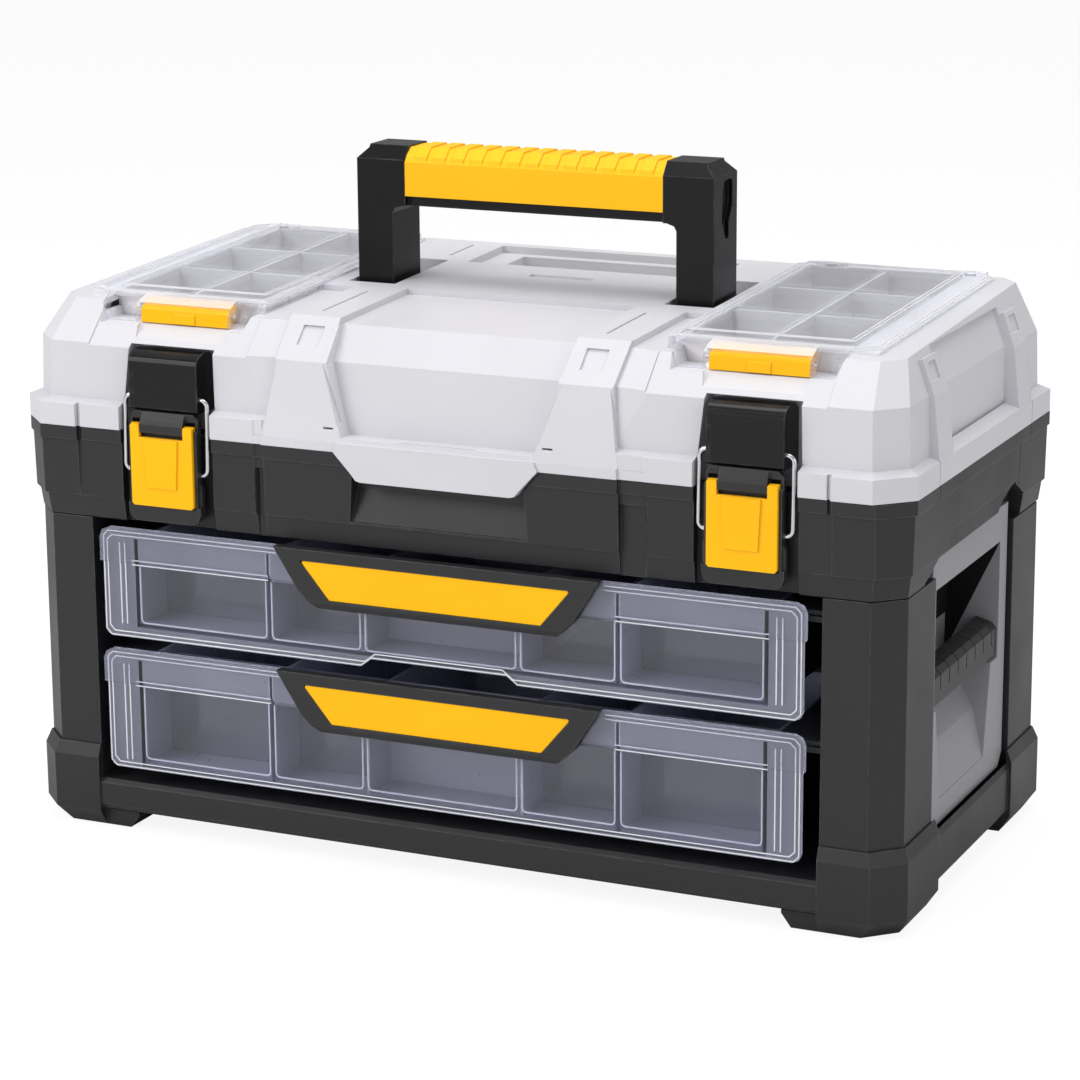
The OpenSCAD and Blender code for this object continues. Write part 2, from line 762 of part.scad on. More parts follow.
// Pocket for a latch in the front of the lid, with a ramp over it, grown by g
module latch_pocket(s, g)
    translate([s * latch_x + latch_shift, 0, 0]) {
        intersection() {
            along_x([[-case_d, -2], [pocket_y + g, -2], [pocket_y + g, pocket_lip + 1.6 + g],
                [pocket_y - 11.3 + g, pocket_lip - 1.8 + g],
                    [-case_d, pocket_lip - 1.8 + g]], -pocket_w, pocket_w);
            along_y([[-pocket_w / 2 - g, -3], [-pocket_w / 2 - g, rim_h], [-pocket_left - g, pocket_lip],
                [-pocket_left - g, deck_h], [pocket_right + g, deck_h], [pocket_right + g, pocket_lip],
                [pocket_w / 2 + g, rim_h], [pocket_w / 2 + g, -3]], -case_d, 0);
        }
        if (g == 0)
            translate([-s * ramp_set, 0, 0]) intersection() {
                along_x([[-case_d, pocket_lip], [-bend_b + 3.1, pocket_lip], [ramp_y, ramp_top],
                    [ramp_y, deck_h + 9], [-case_d, deck_h + 9]], -pocket_w, pocket_w);
                linear_extrude(height = case_w)
                    polygon([[-ramp_left, -case_d], [ramp_right, -case_d], [ramp_right, 0],
                        [-ramp_back_left, 0], [-ramp_back_left, ramp_y], [-ramp_left, -bend_b + 3.1]]);
            }
        if (g > 0)
            along_x([[-case_d, pocket_lip - g], [-bend_b + 3.1, pocket_lip - g], [ramp_y, ramp_top - g],
                [tray_front + g, ramp_top - g], [tray_front + g, deck_h + 9], [-case_d, deck_h + 9]],
                -bar_w / 2 - 22 - g, bar_w / 2 + 22 + g);
    }

// Lowered strip beside a rib, on the deck and down the front, grown by g
module valley(g) {
    on_deck() span([valley_in - g, -case_d, -valley_d - g],
        [organiser_x - tray_w / 2 + 2 + g, valley_back + g, 20]);
    intersection() {
        translate([valley_in, -bend_b + valley_set + 0.3, 0]) rotate([0, 0, -valley_turn])
            along_x([[-40, rim_h + 3.2 - g], [-4.3 + g, rim_h + 3.2 - g], [g, bend_h + 0.3],
                [30 * front_in + 1.4 * g, bend_h + 30.3], [-40, bend_h + 30.3]], -30, 40);
        along_y([[rib_out - g, 7], [valley_in - 1.5 - g, bend_h], [valley_in - g, deck_h],
            [valley_in - g, deck_h + 9], [slope_in + 6 + g, deck_h + 9], [slope_in + 6 + g, 7]], -case_d, 0);
    }
}

// Shallow panel in the front slope, round a latch and its ramp
module slope_panel()
    intersection() {
        along_x([[-bend_b + slope_set - 6 * front_in, bend_h - 6],
            [-bend_b + slope_set + 40 * front_in, bend_h + 40],
            [-case_d, bend_h + 40], [-case_d, bend_h - 6]], slope_in, slope_out);
        on_deck() span([0, -case_d, -case_w], [case_w, 0, -1.5]);
    }

// Fine slits in the deck over the ribs, both set to the left
module rib_slits() on_deck()
    for (x = [-90, 90]) {
        span([x - slit_shift - 0.8, -97, -1.2], [x - slit_shift + 0.8, -40, 5]);
        span([x - slit_shift - 0.8, 72, -1.2], [x - slit_shift + 0.8, 106, 5]);
    }

// Small pockets on the ribs
module rib_marks() {
    intersection() {
        along_x([[-bend_b - 5, bend_h + 8], [-bend_b + 9, bend_h + 7], [-bend_b + 19.4, bend_h + 17],
            [-bend_b, bend_h + 24]], 0, case_w);
        along_y([[82.5, bend_h + 6.5], [96, bend_h + 7.5], [96, bend_h + 18],
            [82.5, bend_h + 18]], -case_d, 0);
    }
    both_y()
        along_y([[bend_a + 5, bend_h + 7], [bend_a - 0.9, bend_h + 7], [bend_a - 4.5, bend_h + 17],
            [bend_a + 5, bend_h + 17]], 68, 80);
}

module lid_hinge_pins() color(steel)
    both_x()
        rod_x(hinge_pin_d, hinge_at - hinge_lid_w / 2 - hinge_box_w - gap,
            hinge_at + hinge_lid_w / 2 + hinge_box_w + gap, hinge_y, hinge_z);

// ---------- carrying handle ----------

// Side view of a leg in Y and Z about the pivot, with bevelled top corners
function leg_outline() = let (f = -leg_d / 2, b = leg_d / 2)
    [[f, 0], [f, handle_h - handle_bevel], [f + 6.5, handle_h], [b - 6, handle_h],
     [b, handle_h - handle_bevel], [b, 0]];

module handle_frame() color(hood_black)
    at_lid() translate([0, pivot_y, pivot_z]) {
        both_x() difference() {
            union() {
                intersection() {
                    along_x(leg_outline(), leg_x - leg_w, leg_x);
                    along_y([[0, 0], [leg_x, 0], [leg_x, handle_h - handle_bevel],
                        [leg_x - handle_bevel, handle_h],
                        [0, handle_h]], -leg_d, leg_d);
                }
                intersection() {
                    along_x(leg_outline(), grip_w / 2, leg_x);
                    along_y([[leg_x - leg_w - 6, handle_h - grip_h - bracket_h],
                        [leg_x - leg_w - 1.5, handle_h - grip_h - bracket_h - 1.5],
                        [leg_x - leg_w, handle_h - grip_h - bracket_h - 4.3],
                        [leg_x - 6, handle_h - grip_h - bracket_h - 4.3], [leg_x - 6, handle_h],
                            [0, handle_h],
                        [0, handle_h - grip_h - bracket_h]], -leg_d, leg_d);
                }
                rod_x(2 * heel_r, leg_x - leg_w, leg_x, 0, 0);
            }
            rod_x(handle_pin_d + 0.1, leg_x - leg_w - 5, leg_x + 5, 0, 0);
            keyhole();
        }
        difference() {
            wide(grip_w + 4, -leg_d / 2 + 4, leg_d / 2 - 4, handle_h - grip_h - bracket_h, handle_h - 5);
            wide(grip_w + 5, -leg_d / 2 + 7, leg_d / 2 - 7, 0, handle_h - grip_h + 8);
        }
    }

// Recess in the outer side of a leg, with a narrow tail
module keyhole() {
    outline = [[-6, handle_h - 34], [-6, handle_h - 16], [-2, handle_h - 11], [9, handle_h - 11],
        [11, handle_h - 14], [11, handle_h - 26], [5, handle_h - 36], [5, handle_h - 46],
            [0, handle_h - 46]];
    along_x(rounded(outline, 1.5, 3), leg_x - 3, leg_x + 5);
}

module handle_grip() color(signal_yellow)
    at_lid() translate([0, pivot_y, pivot_z]) difference() {
        union() {
            along_x(grip_outline(0), -grip_w / 2, grip_w / 2);
            for (i = [-6:6])
                along_x(grip_outline(0.9), i * 12.2 - 4, i * 12.2 + 4);
        }
        wide(grip_w + 1, -leg_d / 2 + 4, leg_d / 2 - 4, 0, handle_h - 5);
    }

// Side view of the grip, grown by g over its top
function grip_outline(g) = let (f = -leg_d / 2, b = leg_d / 2, z = handle_h)
    [[f, z - grip_h], [f, z - 11], [f, z - 9 - g], [f + 2 - g, z - 6 + g * 0.4], [f + 8, z - 0.9 + g],
        [b - 8, z - 0.9 + g],
     [b - 2 + g, z - 6 + g * 0.4], [b, z - 9 - g], [b, z - 11], [b, z - grip_h]];

module handle_pins() color(steel)
    at_lid() both_x()
        rod_x(handle_pin_d, leg_x - leg_w - well_in - well_t, leg_x + well_out + well_t, pivot_y, pivot_z);

// ---------- latches ----------

module at_latch(s)
    at_lid() translate([s * latch_x + latch_shift, 0, 0]) children();

module latch_hood(s) color(hood_black)
    at_latch(s) difference() {
        along_x([[pocket_y, hood_z], [hood_front + 1.5, hood_z], [hood_front, hood_z + 1.5],
            [hood_front, hood_top - 6.3], [hood_front + 0.7, hood_top - 4],
                [hood_front + 2, hood_top - 2.6],
            [hood_front + 4, hood_top - 1.5], [hood_front + 7, hood_top - 0.5],
                [hood_front + 10.3, hood_top],
            [hood_front + 16.3, hood_top - 0.3], [hood_front + 20.3, hood_top - 2.8],
                [pocket_y, hood_top - 3.6]],
            -hood_w / 2, hood_w / 2);
        rod_x(wire_d + 0.1, -hood_w, hood_w, bail_y, bail_z);
        // Seam line near the outer edge of the face
        span([-hood_w / 2 + 1.6, hood_front - 1, hood_z - 1],
            [-hood_w / 2 + 2.2, hood_front + 0.4, hood_z + 22]);
    }

// Bent wire on each side, from the hood down to the plate
module latch_bail(s) color(steel)
    at_latch(s) both_x() translate([0, bail_y, bail_z]) rotate([-bail_lean, 0, 0]) {
        fall = bail_z - wire_bottom;
        rod_x(wire_d, hood_w / 2 - 5, wire_x - wire_turn, 0, 0);
        translate([wire_x - wire_turn, 0, -wire_turn]) wire_elbow(wire_turn, 0);
        translate([wire_x, 0, wire_turn - fall]) cylinder(d = wire_d, h = fall - 2 * wire_turn);
        translate([wire_x - wire_turn, 0, wire_turn - fall]) wire_elbow(wire_turn, -90);
        rod_x(wire_d, hood_w / 2 - 3, wire_x - wire_turn, 0, -fall);
    }

// Quarter bend of radius r in the X-Z plane, starting at angle a
module wire_elbow(r, a)
    rotate([90, 0, 0]) rotate([0, 0, a]) rotate_extrude(angle = 90) translate([r, 0]) circle(d = wire_d);

module latch_plate(s) color(charcoal)
    at_latch(s) difference() {
        foot = plate_bottom + 9;
        union() {
            along_y(mirrored([[plate_w / 2 - 6, plate_bottom], [plate_w / 2 - 1.8, plate_bottom + 1.8],
                [plate_w / 2, plate_bottom + 6], [plate_w / 2, wire_bottom - 7],
                    [hood_w / 2, wire_bottom - 5],
                [hood_w / 2, plate_top - 3], [hood_w / 2 - 3, plate_top]]), plate_front + 2.2, plate_back);
            along_y(mirrored([[plate_w / 2 - 6, plate_bottom], [plate_w / 2 - 1.8, plate_bottom + 1.8],
                [plate_w / 2, plate_bottom + 6], [plate_w / 2, foot + 2],
                    [tab_w / 2 + gap, tab_bottom - gap]]),
                plate_front, plate_front + 3);
            both_x() span([tab_w / 2 + gap, plate_front, tab_bottom - gap - 0.1],
                [hood_w / 2, plate_front + 3, tab_z]);
            barrel();
        }
        rod_x(tab_pin_d + 0.1, -hood_w, hood_w, tab_y, tab_z);
        // Room for the tab's knuckles to turn
        both_x() rod_x(2 * tab_knuckle_r + 5, barrel_w / 2, tab_w / 2 + gap, tab_y, tab_z);
        both_x() rod_x(wire_d + 0.3, hood_w / 2 - 4.5, hood_w, wire_foot_y(), wire_bottom);
    }

// Where the bail enters the plate
function wire_foot_y() = bail_y - (bail_z - wire_bottom) * sin(bail_lean);

// Cover over the tab's hinge, with a crease along it
module barrel()
    along_x([[plate_front + 2.5, barrel_bottom], [tab_front + 0.9, barrel_bottom],
        [tab_front + 0.5, barrel_bottom + 0.6],
        [tab_front + 0.5, barrel_bottom + 5], [tab_front + 1.4, barrel_bottom + 7.6],
            [tab_front + 4, plate_top],
        [plate_back, plate_top], [plate_back, barrel_bottom]], -barrel_w / 2, barrel_w / 2);

module latch_tab(s) color(signal_yellow)
    at_latch(s) difference() {
        union() {
            along_y(mirrored([[tab_w / 2 - 1.5, tab_bottom], [tab_w / 2, tab_bottom + 1.5],
                [tab_w / 2, tab_z + 1.2],
                [tab_w / 2 - 1, tab_z + 2], [barrel_w / 2 + 1, tab_z + 2],
                    [barrel_w / 2 + gap, tab_z + 1.2],
                [barrel_w / 2 + gap, tab_top]]), tab_front, tab_front + tab_t);
            along_y(mirrored([[9.8, tab_bottom + 11.1],
                [11.4, tab_top - 0.5]]), tab_front - 1, tab_front + 1);
            both_x() rod_x(2 * tab_knuckle_r, barrel_w / 2 + gap, tab_w / 2, tab_y, tab_z);
        }
        rod_x(tab_pin_d + 0.1, -hood_w, hood_w, tab_y, tab_z);
    }

module latch_tab_pin(s) color(steel)
    at_latch(s) rod_x(tab_pin_d, -tab_w / 2 + 0.5, tab_w / 2 - 0.5, tab_y, tab_z);

// ---------- organisers ----------

// Children placed on the deck about the middle of one organiser
module at_organiser(s)
    at_lid() on_deck() mirror([s < 0 ? 1 : 0, 0, 0]) translate([organiser_x, 0, 0]) children();

module organiser_tray(s) color(clear_blue)
    at_organiser(s) difference() {
        union() {
            wide(tray_w + 2 * clear_t, tray_front, tray_back, -tray_h, clear_t);
            span([-cover_in + 1.6, cover_front + 4, 0], [cover_out - 1, cover_back, clear_t]);
            for (x = [-38, 50])
                organiser_knuckles(x);
        }
        tray_cells();
        rod_x(small_pin_d + 0.1, -cover_in, cover_out, organiser_hinge_y, organiser_hinge_z);
    }

// Six cells, two across and three deep
module tray_cells() {
    cell_w = (tray_w - clear_t) / 2;
    rows = [tray_front + clear_t, -24, 40, tray_back - clear_t];
    for (i = [0:2]) for (s = [-1, 1])
        span([s < 0 ? -tray_w / 2 : clear_t / 2, rows[i] + (i > 0 ? clear_t / 2 : 0), -tray_h + clear_t],
            [s < 0 ? -clear_t / 2 : tray_w / 2, rows[i + 1] - (i < 2 ? clear_t / 2 : 0), 5]);
}

// Pair of tray knuckles round one cover knuckle
module organiser_knuckles(x)
    for (s = [-1, 1])
        translate([x + s * 6.6 - 3, 0, 0]) {
            rod_x(2 * organiser_knuckle_r, 0, 6, organiser_hinge_y, organiser_hinge_z);
            span([0, cover_back - 1, 0], [6, organiser_hinge_y, clear_t - 0.3]);
        }

module organiser_cover(s) color(clear_blue)
    at_organiser(s) difference() {
        bx = bar_x + s * bar_shift - organiser_x;
        union() {
            translate([0, 0, cover_z]) linear_extrude(height = clear_t + 0.1)
                polygon([[-cover_in, cover_front], [cover_out - 14, cover_front],
                    [cover_out, cover_front + 9],
                    [cover_out, cover_back - 9], [cover_out - 9, cover_back], [-cover_in + 9, cover_back],
                    [-cover_in, cover_back - 9]]);
            span([-tray_w / 2 - 1, tray_front + 3, cover_z],
                [tray_w / 2 + 1, tray_back - 3, cover_z + clear_t + 1.2]);
            cover_apron(bx);
            cover_skirt();
            for (x = [-38, 50]) {
                rod_x(2 * organiser_knuckle_r, x - 3, x + 3, organiser_hinge_y, organiser_hinge_z);
                span([x - 3, cover_back - 2, cover_z], [x + 3, organiser_hinge_y, cover_z + clear_t + 0.1]);
            }
        }
        span([-tray_w / 2 + 1, tray_front + 5, cover_z - 1],
            [tray_w / 2 - 1, tray_back - 5, cover_z + 1.2]);
        rod_x(small_pin_d + 0.1, -cover_in, cover_out, organiser_hinge_y, organiser_hinge_z);
        rod_x(small_pin_d + 0.1, bx - ear_x - 5, bx + ear_x + 5, bar_pin_y, bar_pin_z);
    }

// Sloping front of the cover, with windows beside the yellow latch and ears for its pin
module cover_apron(bx) {
    top = cover_z + clear_t;
    brow = [[cover_front, top], [brow_y, top - 0.3], [apron_y + 1, top - 3.2], [apron_y + 1.6, top - 4.9],
        [brow_y + 0.8, top - 2.2], [cover_front + 2, cover_z]];
    slope = [[cover_front, top], [apron_y, top - 4.9], [apron_foot_y, apron_bottom],
        [apron_foot_y + 1.9, apron_bottom],
        [apron_y + 1.9, top - 6.5], [cover_front + 2, cover_z]];
    ear = [[cover_front, top], [apron_y, top - 4.9], [apron_foot_y, apron_bottom],
        [bar_pin_y - 1, apron_bottom],
        [bar_pin_y + 3, bar_pin_z - 3], [cover_front + 3, cover_z]];
    outline = [[-46.5, apron_bottom], [46, apron_bottom], [50.8, top], [-51.8, top]];
    along_x(brow, bx - ear_x - 1, bx + ear_x + 1);
    along_x([[cover_front, top], [cover_front - 3, skirt_z], [cover_front - 1.6, skirt_z],
        [cover_front + 2, cover_z]],
        -cover_in, -49);
    difference() {
        intersection() {
            along_x(slope, -cover_in, cover_out);
            along_y(outline, -case_d, 0);
        }
        span([bx - ear_x, -case_d, apron_bottom - 1], [bx + ear_x, cover_front - 0.2, top + 1]);
        along_y([[bx + ear_x + ear_t, apron_bottom + 2.3], [43, apron_bottom + 2.3], [46.6, window_top],
            [bx + ear_x + ear_t, window_top]], -case_d, 0);
        along_y([[-43, apron_bottom + 2.3], [bx - ear_x - ear_t, apron_bottom + 2.3],
            [bx - ear_x - ear_t, window_top], [-46.6, window_top]], -case_d, 0);
    }
    for (e = [bx - ear_x - ear_t, bx + ear_x])
        along_x(ear, e, e + ear_t);
}

// Skirt along the inner side, with three long windows
module cover_skirt()
    difference() {
        along_x([[cover_front + 0.2, cover_z + 1], [cover_front - 3, skirt_z], [valley_back - 1, skirt_z],
            [valley_back - 1, 0.3], [-26, 0.3], [-26, cover_z + 1]], -cover_in, -cover_in + 1.2);
        for (y = [-94, -72, -51])
            span([-cover_in - 1, y, skirt_z + 0.7], [-cover_in + 2, y + 18, cover_z - 0.4]);
    }

module organiser_hinge_pins(s) color(steel)
    at_organiser(s)
        for (x = [-38, 50])
            rod_x(small_pin_d, x - 9.6, x + 9.6, organiser_hinge_y, organiser_hinge_z);

module organiser_latch(s) color(signal_yellow)
    at_bar(s) difference() {
        union() {
            along_x([[apron_y + 1.2, -3.2], [apron_y + 1.8, -2.2], [apron_y + 10.6, 1],
                [apron_y + 11, -1.2],
                [bar_pin_y + 2.4, -4.2], [bar_pin_y + 2.4, -7], [apron_y + 3, bar_bottom],
                    [apron_y + 0.3, bar_bottom]],
                -bar_w / 2, bar_w / 2);
            along_x([[apron_y + 1.2, -4.6], [apron_y + 0.4, -5.2], [apron_y - 0.4, bar_bottom + 0.3],
                [apron_y + 2, bar_bottom + 0.3]], -7, 7);
        }
        rod_x(small_pin_d + 0.1, -bar_w, bar_w, bar_pin_y, bar_pin_z);
    }

// Children placed about the middle of a yellow organiser latch
module at_bar(s)
    at_organiser(s) translate([bar_x + s * bar_shift - organiser_x, 0, 0]) children();

module organiser_latch_pin(s) color(steel)
    at_bar(s) rod_x(small_pin_d, -ear_x - ear_t, ear_x + ear_t, bar_pin_y, bar_pin_z);

// ---------- drawers ----------

// Outline of a drawer front of height h and half width x, raised by notch along the middle of its foot
function front_outline(x, h, notch) =
    mirrored([[44, notch], [50, 0], [x - 5, 0], [x - 1.5, 1.5], [x, 5], [x, h - 6],
        [x - 1.8, h - 1.8], [x - 6, h]]);

module drawer_tray(z, h, notch) color(clear_blue)
    translate([0, 0, z]) {
        ledge = h - flange_h;
        top = ledge + 2.6;
        difference() {
            union() {
                along_y(front_outline(front_x - 1.5, h, notch), front_y, front_y + front_t);
                intersection() {
                    along_y(front_outline(front_x, h, notch), front_y - 1, front_y + front_t);
                    wide(case_w, -case_d, 0, h - rim_band, h + 1);
                }
            }
            along_y(pull_outline(0.3, h), front_y - 5, front_y + 0.6);
        }
        difference() {
            union() {
                wide(2 * drawer_x, front_y + front_t - 0.5, drawer_back, notch + 1, top);
                both_x() span([drawer_x - 1, front_y + front_t + 10, ledge],
                    [post_x - 0.7, drawer_back, top]);
            }
            drawer_cells(notch + 1 + drawer_t, top);
        }
        // Ledge across the back of the front, level with its rim
        wide(2 * drawer_x - 2, front_y + front_t - 0.5, front_y + front_t + ledge_d, h - rim_band - 2,
            h - rim_band);
    }

// Long cells of a drawer: two wide ones at the sides and three in the middle
module drawer_cells(z0, z1) {
    walls = [-drawer_x + drawer_t, -111, 111, drawer_x - drawer_t];
    for (i = [0:2])
        span([walls[i] + (i > 0 ? drawer_t / 2 : 0), front_y + front_t, z0],
            [walls[i + 1] - (i < 2 ? drawer_t / 2 : 0), drawer_back - drawer_t, z1 + 1]);
}

// Loose dividers that stand in the middle and side cells
module drawer_dividers(z, h, notch) color(clear_blue)
    translate([0, 0, z + notch + 1 + drawer_t]) {
        tall = h - flange_h - 2 - notch - drawer_t;
        for (x = [-49.5, 49.5])
            span([x - 1, front_y + front_t + ledge_d + 0.2, 0],
                [x + 1, drawer_back - drawer_t - 0.2, tall]);
        for (y = [-106, 10]) {
            wide(97.6, y - 1, y + 1, 0, tall);
            both_x() {
                span([111 + drawer_t / 2 + 0.2, y - 1, 0], [drawer_x - drawer_t - 0.2, y + 1, tall]);
                span([50.7, y - 1, 0], [111 - drawer_t / 2 - 0.2, y + 1, tall]);
            }
        }
    }

// Outline of a pull in X and Z, grown by g, hung from the top of a front of height h
function pull_outline(g, h) =
    mirrored([[pull_x + g, h + 1 + g], [pull_x - 16 + g, h - pull_h + 11],
        [pull_x - 27 + g, h - pull_h + 1 - g]]);

module drawer_pull(z, h) color(charcoal)
    translate([0, 0, z]) difference() {
        union() {
            intersection() {
                along_y(pull_outline(0, h), -case_d, 0);
                along_x([[pull_y, h + 1], [pull_y, h - pull_h + 5], [pull_y + 3, h - pull_h],
                    [front_y + 0.3, h - pull_h], [front_y + 0.3, h + 1]], -case_w, case_w);
            }
        }
        along_y(insert_outline(0.2, h), -case_d, pull_y + 2);
        // Finger room behind the pull's lower edge
        along_y(mirrored([[pull_x - 36, h - pull_h - 1],
            [pull_x - 32, h - pull_h + 6]]), pull_y + 2.6, front_y - 0.6);
    }

function insert_outline(g, h) =
    mirrored([[pull_x - 17.5 + g, h - 6 + g], [pull_x - 36 + g, h - pull_h + 7 - g]]);

module drawer_insert(z, h) color(signal_yellow)
    translate([0, 0, z])
        along_y(rounded(insert_outline(0, h), 1, 2), pull_y + 0.4, pull_y + 2);

// ---------- side handles ----------

module side_panel(s) color(mid_grey)
    on_side(s) difference() {
        union() {
            along_x([[-post_y + 3, floor_z + 12], [post_y - 11, floor_z + 12], [post_y - 3.5, floor_z + 20],
                [post_y - 3.5, panel_top], [-post_y + 3, panel_top]], panel_x - 3.5, panel_x);
            span([post_x + wall_t, cup_y[0], cup_z], [panel_x - 1, cup_y[1], hand_top + wall_t]);
            hand_scoop(wall_t);
        }
        span([panel_x - hand_d, cup_y[0] + wall_t, hand_z], [case_w, cup_y[1] - wall_t, hand_top]);
        hand_scoop(0);
    }

// Sloping finger recess under the grip, grown by g
module hand_scoop(g)
    intersection() {
        along_y([[panel_x + (g > 0 ? 0 : 1), scoop_z - g], [panel_x, scoop_z - g], [panel_x - 9 - g, cup_z],
            [panel_x - 27 - g, hand_z + 0.5], [panel_x + (g > 0 ? 0 : 1), hand_z + 0.5]], -case_d, case_d);
        along_x([[cup_y[0] + 7 - g, hand_z + 1], [cup_y[0] + 15 - g, scoop_z + 1 - g],
            [cup_y[1] - 27 + g, scoop_z + 1 - g], [cup_y[1] - 16 + g, hand_z + 1]], 0, case_w);
    }

module side_grip(s) color(charcoal)
    on_side(s) translate([panel_x, 0, hand_z]) {
        back = -side_grip_t;
        wrap_step = (cup_y[1] - cup_y[0] - 2 * wall_t - 1.4) / 7.4;
        wrap_y = cup_y[0] + wall_t + 14;
        difference() {
            along_y([[back, 3], [-3, 0], [-1, 2], [-1, 18], [-4, 21.5], [back + 2, 24], [back, 22]],
                cup_y[0] + wall_t, cup_y[1] - wall_t);
            for (i = [0:6])
                along_y([[0, 9], [0, 27], [back - 1, 27], [back - 1, 23], [back + 1.5, 22.5],
                    [-4.6, 20.4], [-2, 17.6],
                    [-2, 9]], wrap_y + i * wrap_step, wrap_y + i * wrap_step + 1.4);
        }
    }

// ---------- assembly ----------

base_frame();
drawer_housing();
upper_box();
side_panel(-1);  // side_panel_left
side_panel(1);  // side_panel_right
side_grip(-1);  // side_grip_left
side_grip(1);  // side_grip_right
lid_shell();
lid_hinge_pins();
handle_frame();
handle_grip();
handle_pins();
latch_hood(-1);  // latch_hood_left
latch_hood(1);  // latch_hood_right
latch_bail(-1);  // latch_bail_left
latch_bail(1);  // latch_bail_right
latch_plate(-1);  // latch_plate_left
latch_plate(1);  // latch_plate_right
latch_tab(-1);  // latch_tab_left
latch_tab(1);  // latch_tab_right
latch_tab_pin(-1);  // latch_tab_pin_left
latch_tab_pin(1);  // latch_tab_pin_right
organiser_tray(-1);  // organiser_tray_left
organiser_tray(1);  // organiser_tray_right
organiser_cover(-1);  // organiser_cover_left
organiser_cover(1);  // organiser_cover_right
organiser_hinge_pins(-1);  // organiser_hinge_pins_left
organiser_hinge_pins(1);  // organiser_hinge_pins_right
organiser_latch(-1);  // organiser_latch_left
organiser_latch(1);  // organiser_latch_right
organiser_latch_pin(-1);  // organiser_latch_pin_left
organiser_latch_pin(1);  // organiser_latch_pin_right
drawer_tray(upper_z, upper_h, 5);  // drawer_tray_upper
drawer_tray(lower_z, lower_h, 0);  // drawer_tray_lower
drawer_dividers(upper_z, upper_h, 5);  // drawer_dividers_upper
drawer_dividers(lower_z, lower_h, 0);  // drawer_dividers_lower
drawer_pull(upper_z, upper_h);  // drawer_pull_upper
drawer_pull(lower_z, lower_h);  // drawer_pull_lower
drawer_insert(upper_z, upper_h);  // drawer_insert_upper
drawer_insert(lower_z, lower_h);  // drawer_insert_lower
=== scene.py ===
"""Looks of the portable tool box with two clear drawers, laid out as an add-on."""
import math

import bmesh
import bpy
from bpy.props import FloatProperty, FloatVectorProperty, PointerProperty
from bpy.types import Operator, Panel, PropertyGroup
from mathutils import Matrix, Vector


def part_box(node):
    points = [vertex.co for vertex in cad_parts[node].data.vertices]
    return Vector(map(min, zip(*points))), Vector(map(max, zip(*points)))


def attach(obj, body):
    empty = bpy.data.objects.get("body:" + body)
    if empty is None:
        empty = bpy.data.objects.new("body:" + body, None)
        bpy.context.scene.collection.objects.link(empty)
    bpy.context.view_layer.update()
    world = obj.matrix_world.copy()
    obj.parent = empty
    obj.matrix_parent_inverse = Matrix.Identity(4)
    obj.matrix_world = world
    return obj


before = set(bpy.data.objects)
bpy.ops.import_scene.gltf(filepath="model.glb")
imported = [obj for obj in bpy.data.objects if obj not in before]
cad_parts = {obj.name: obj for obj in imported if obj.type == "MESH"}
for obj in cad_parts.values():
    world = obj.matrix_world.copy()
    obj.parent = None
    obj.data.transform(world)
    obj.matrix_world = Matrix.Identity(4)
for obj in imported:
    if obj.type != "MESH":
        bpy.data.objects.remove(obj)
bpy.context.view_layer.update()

bl_info = {
    "name": "Portable tool box with drawers",
    "version": (1, 0, 0),
    "blender": (4, 5, 0),
    "location": "View3D > Sidebar > Tool Box",
    "description": "Plastics, wire, fine mouldings and studio for a portable tool box",
    "category": "Object",
}

MM = 0.001
SIDES = ("left", "right")
LEVELS = ("upper", "lower")
WHITE = (1, 1, 1, 1)


def srgb(red, green, blue):
    """Linear colour of an 8-bit screen colour."""
    def linear(level):
        part = level / 255
        return part / 12.92 if part <= 0.04045 else ((part + 0.055) / 1.055) ** 2.4
    return linear(red), linear(green), linear(blue)


# ---------- settings ----------

class BoxPlastics(PropertyGroup):
    """Colours of the mouldings."""

    charcoal: FloatVectorProperty(
        name="Charcoal", description="Charcoal of the base, the housing and the upper box",
        subtype="COLOR", min=0, max=1, default=srgb(35, 35, 37))
    lid: FloatVectorProperty(
        name="Lid", description="Pale cool grey of the lid",
        subtype="COLOR", min=0, max=1, default=srgb(207, 207, 212))
    panel: FloatVectorProperty(
        name="Side panels", description="Mid grey of the two side panels",
        subtype="COLOR", min=0, max=1, default=srgb(147, 147, 152))
    handle: FloatVectorProperty(
        name="Handle", description="Near black of the handle frame and the latch hoods",
        subtype="COLOR", min=0, max=1, default=srgb(13, 13, 14))
    accent: FloatVectorProperty(
        name="Accent", description="Yellow of the grip, the latches and the drawer inserts",
        subtype="COLOR", min=0, max=1, default=srgb(255, 189, 0))
    front: FloatVectorProperty(
        name="Drawer fronts", description="Tint of the clear drawer fronts",
        subtype="COLOR", min=0, max=1, default=srgb(236, 237, 246))
    frosted: FloatVectorProperty(
        name="Frosted walls", description="Tint of the frosted walls and floors",
        subtype="COLOR", min=0, max=1, default=srgb(178, 180, 198))
    # Pale colour of the painted highlights along the thick edges of the clear plastic, also the tone of the
    # frosted brows
    edge: FloatVectorProperty(
        name="Bright edges", description="Pale tone of the thick edges of the clear plastic",
        subtype="COLOR", min=0, max=1, default=srgb(238, 238, 242))
    cover: FloatVectorProperty(
        name="Covers", description="Tint of the clear organiser covers",
        subtype="COLOR", min=0, max=1, default=srgb(246, 246, 248))
    wire: FloatVectorProperty(
        name="Wire", description="Colour of the latch wires and the pins",
        subtype="COLOR", min=0, max=1, default=srgb(214, 214, 218))


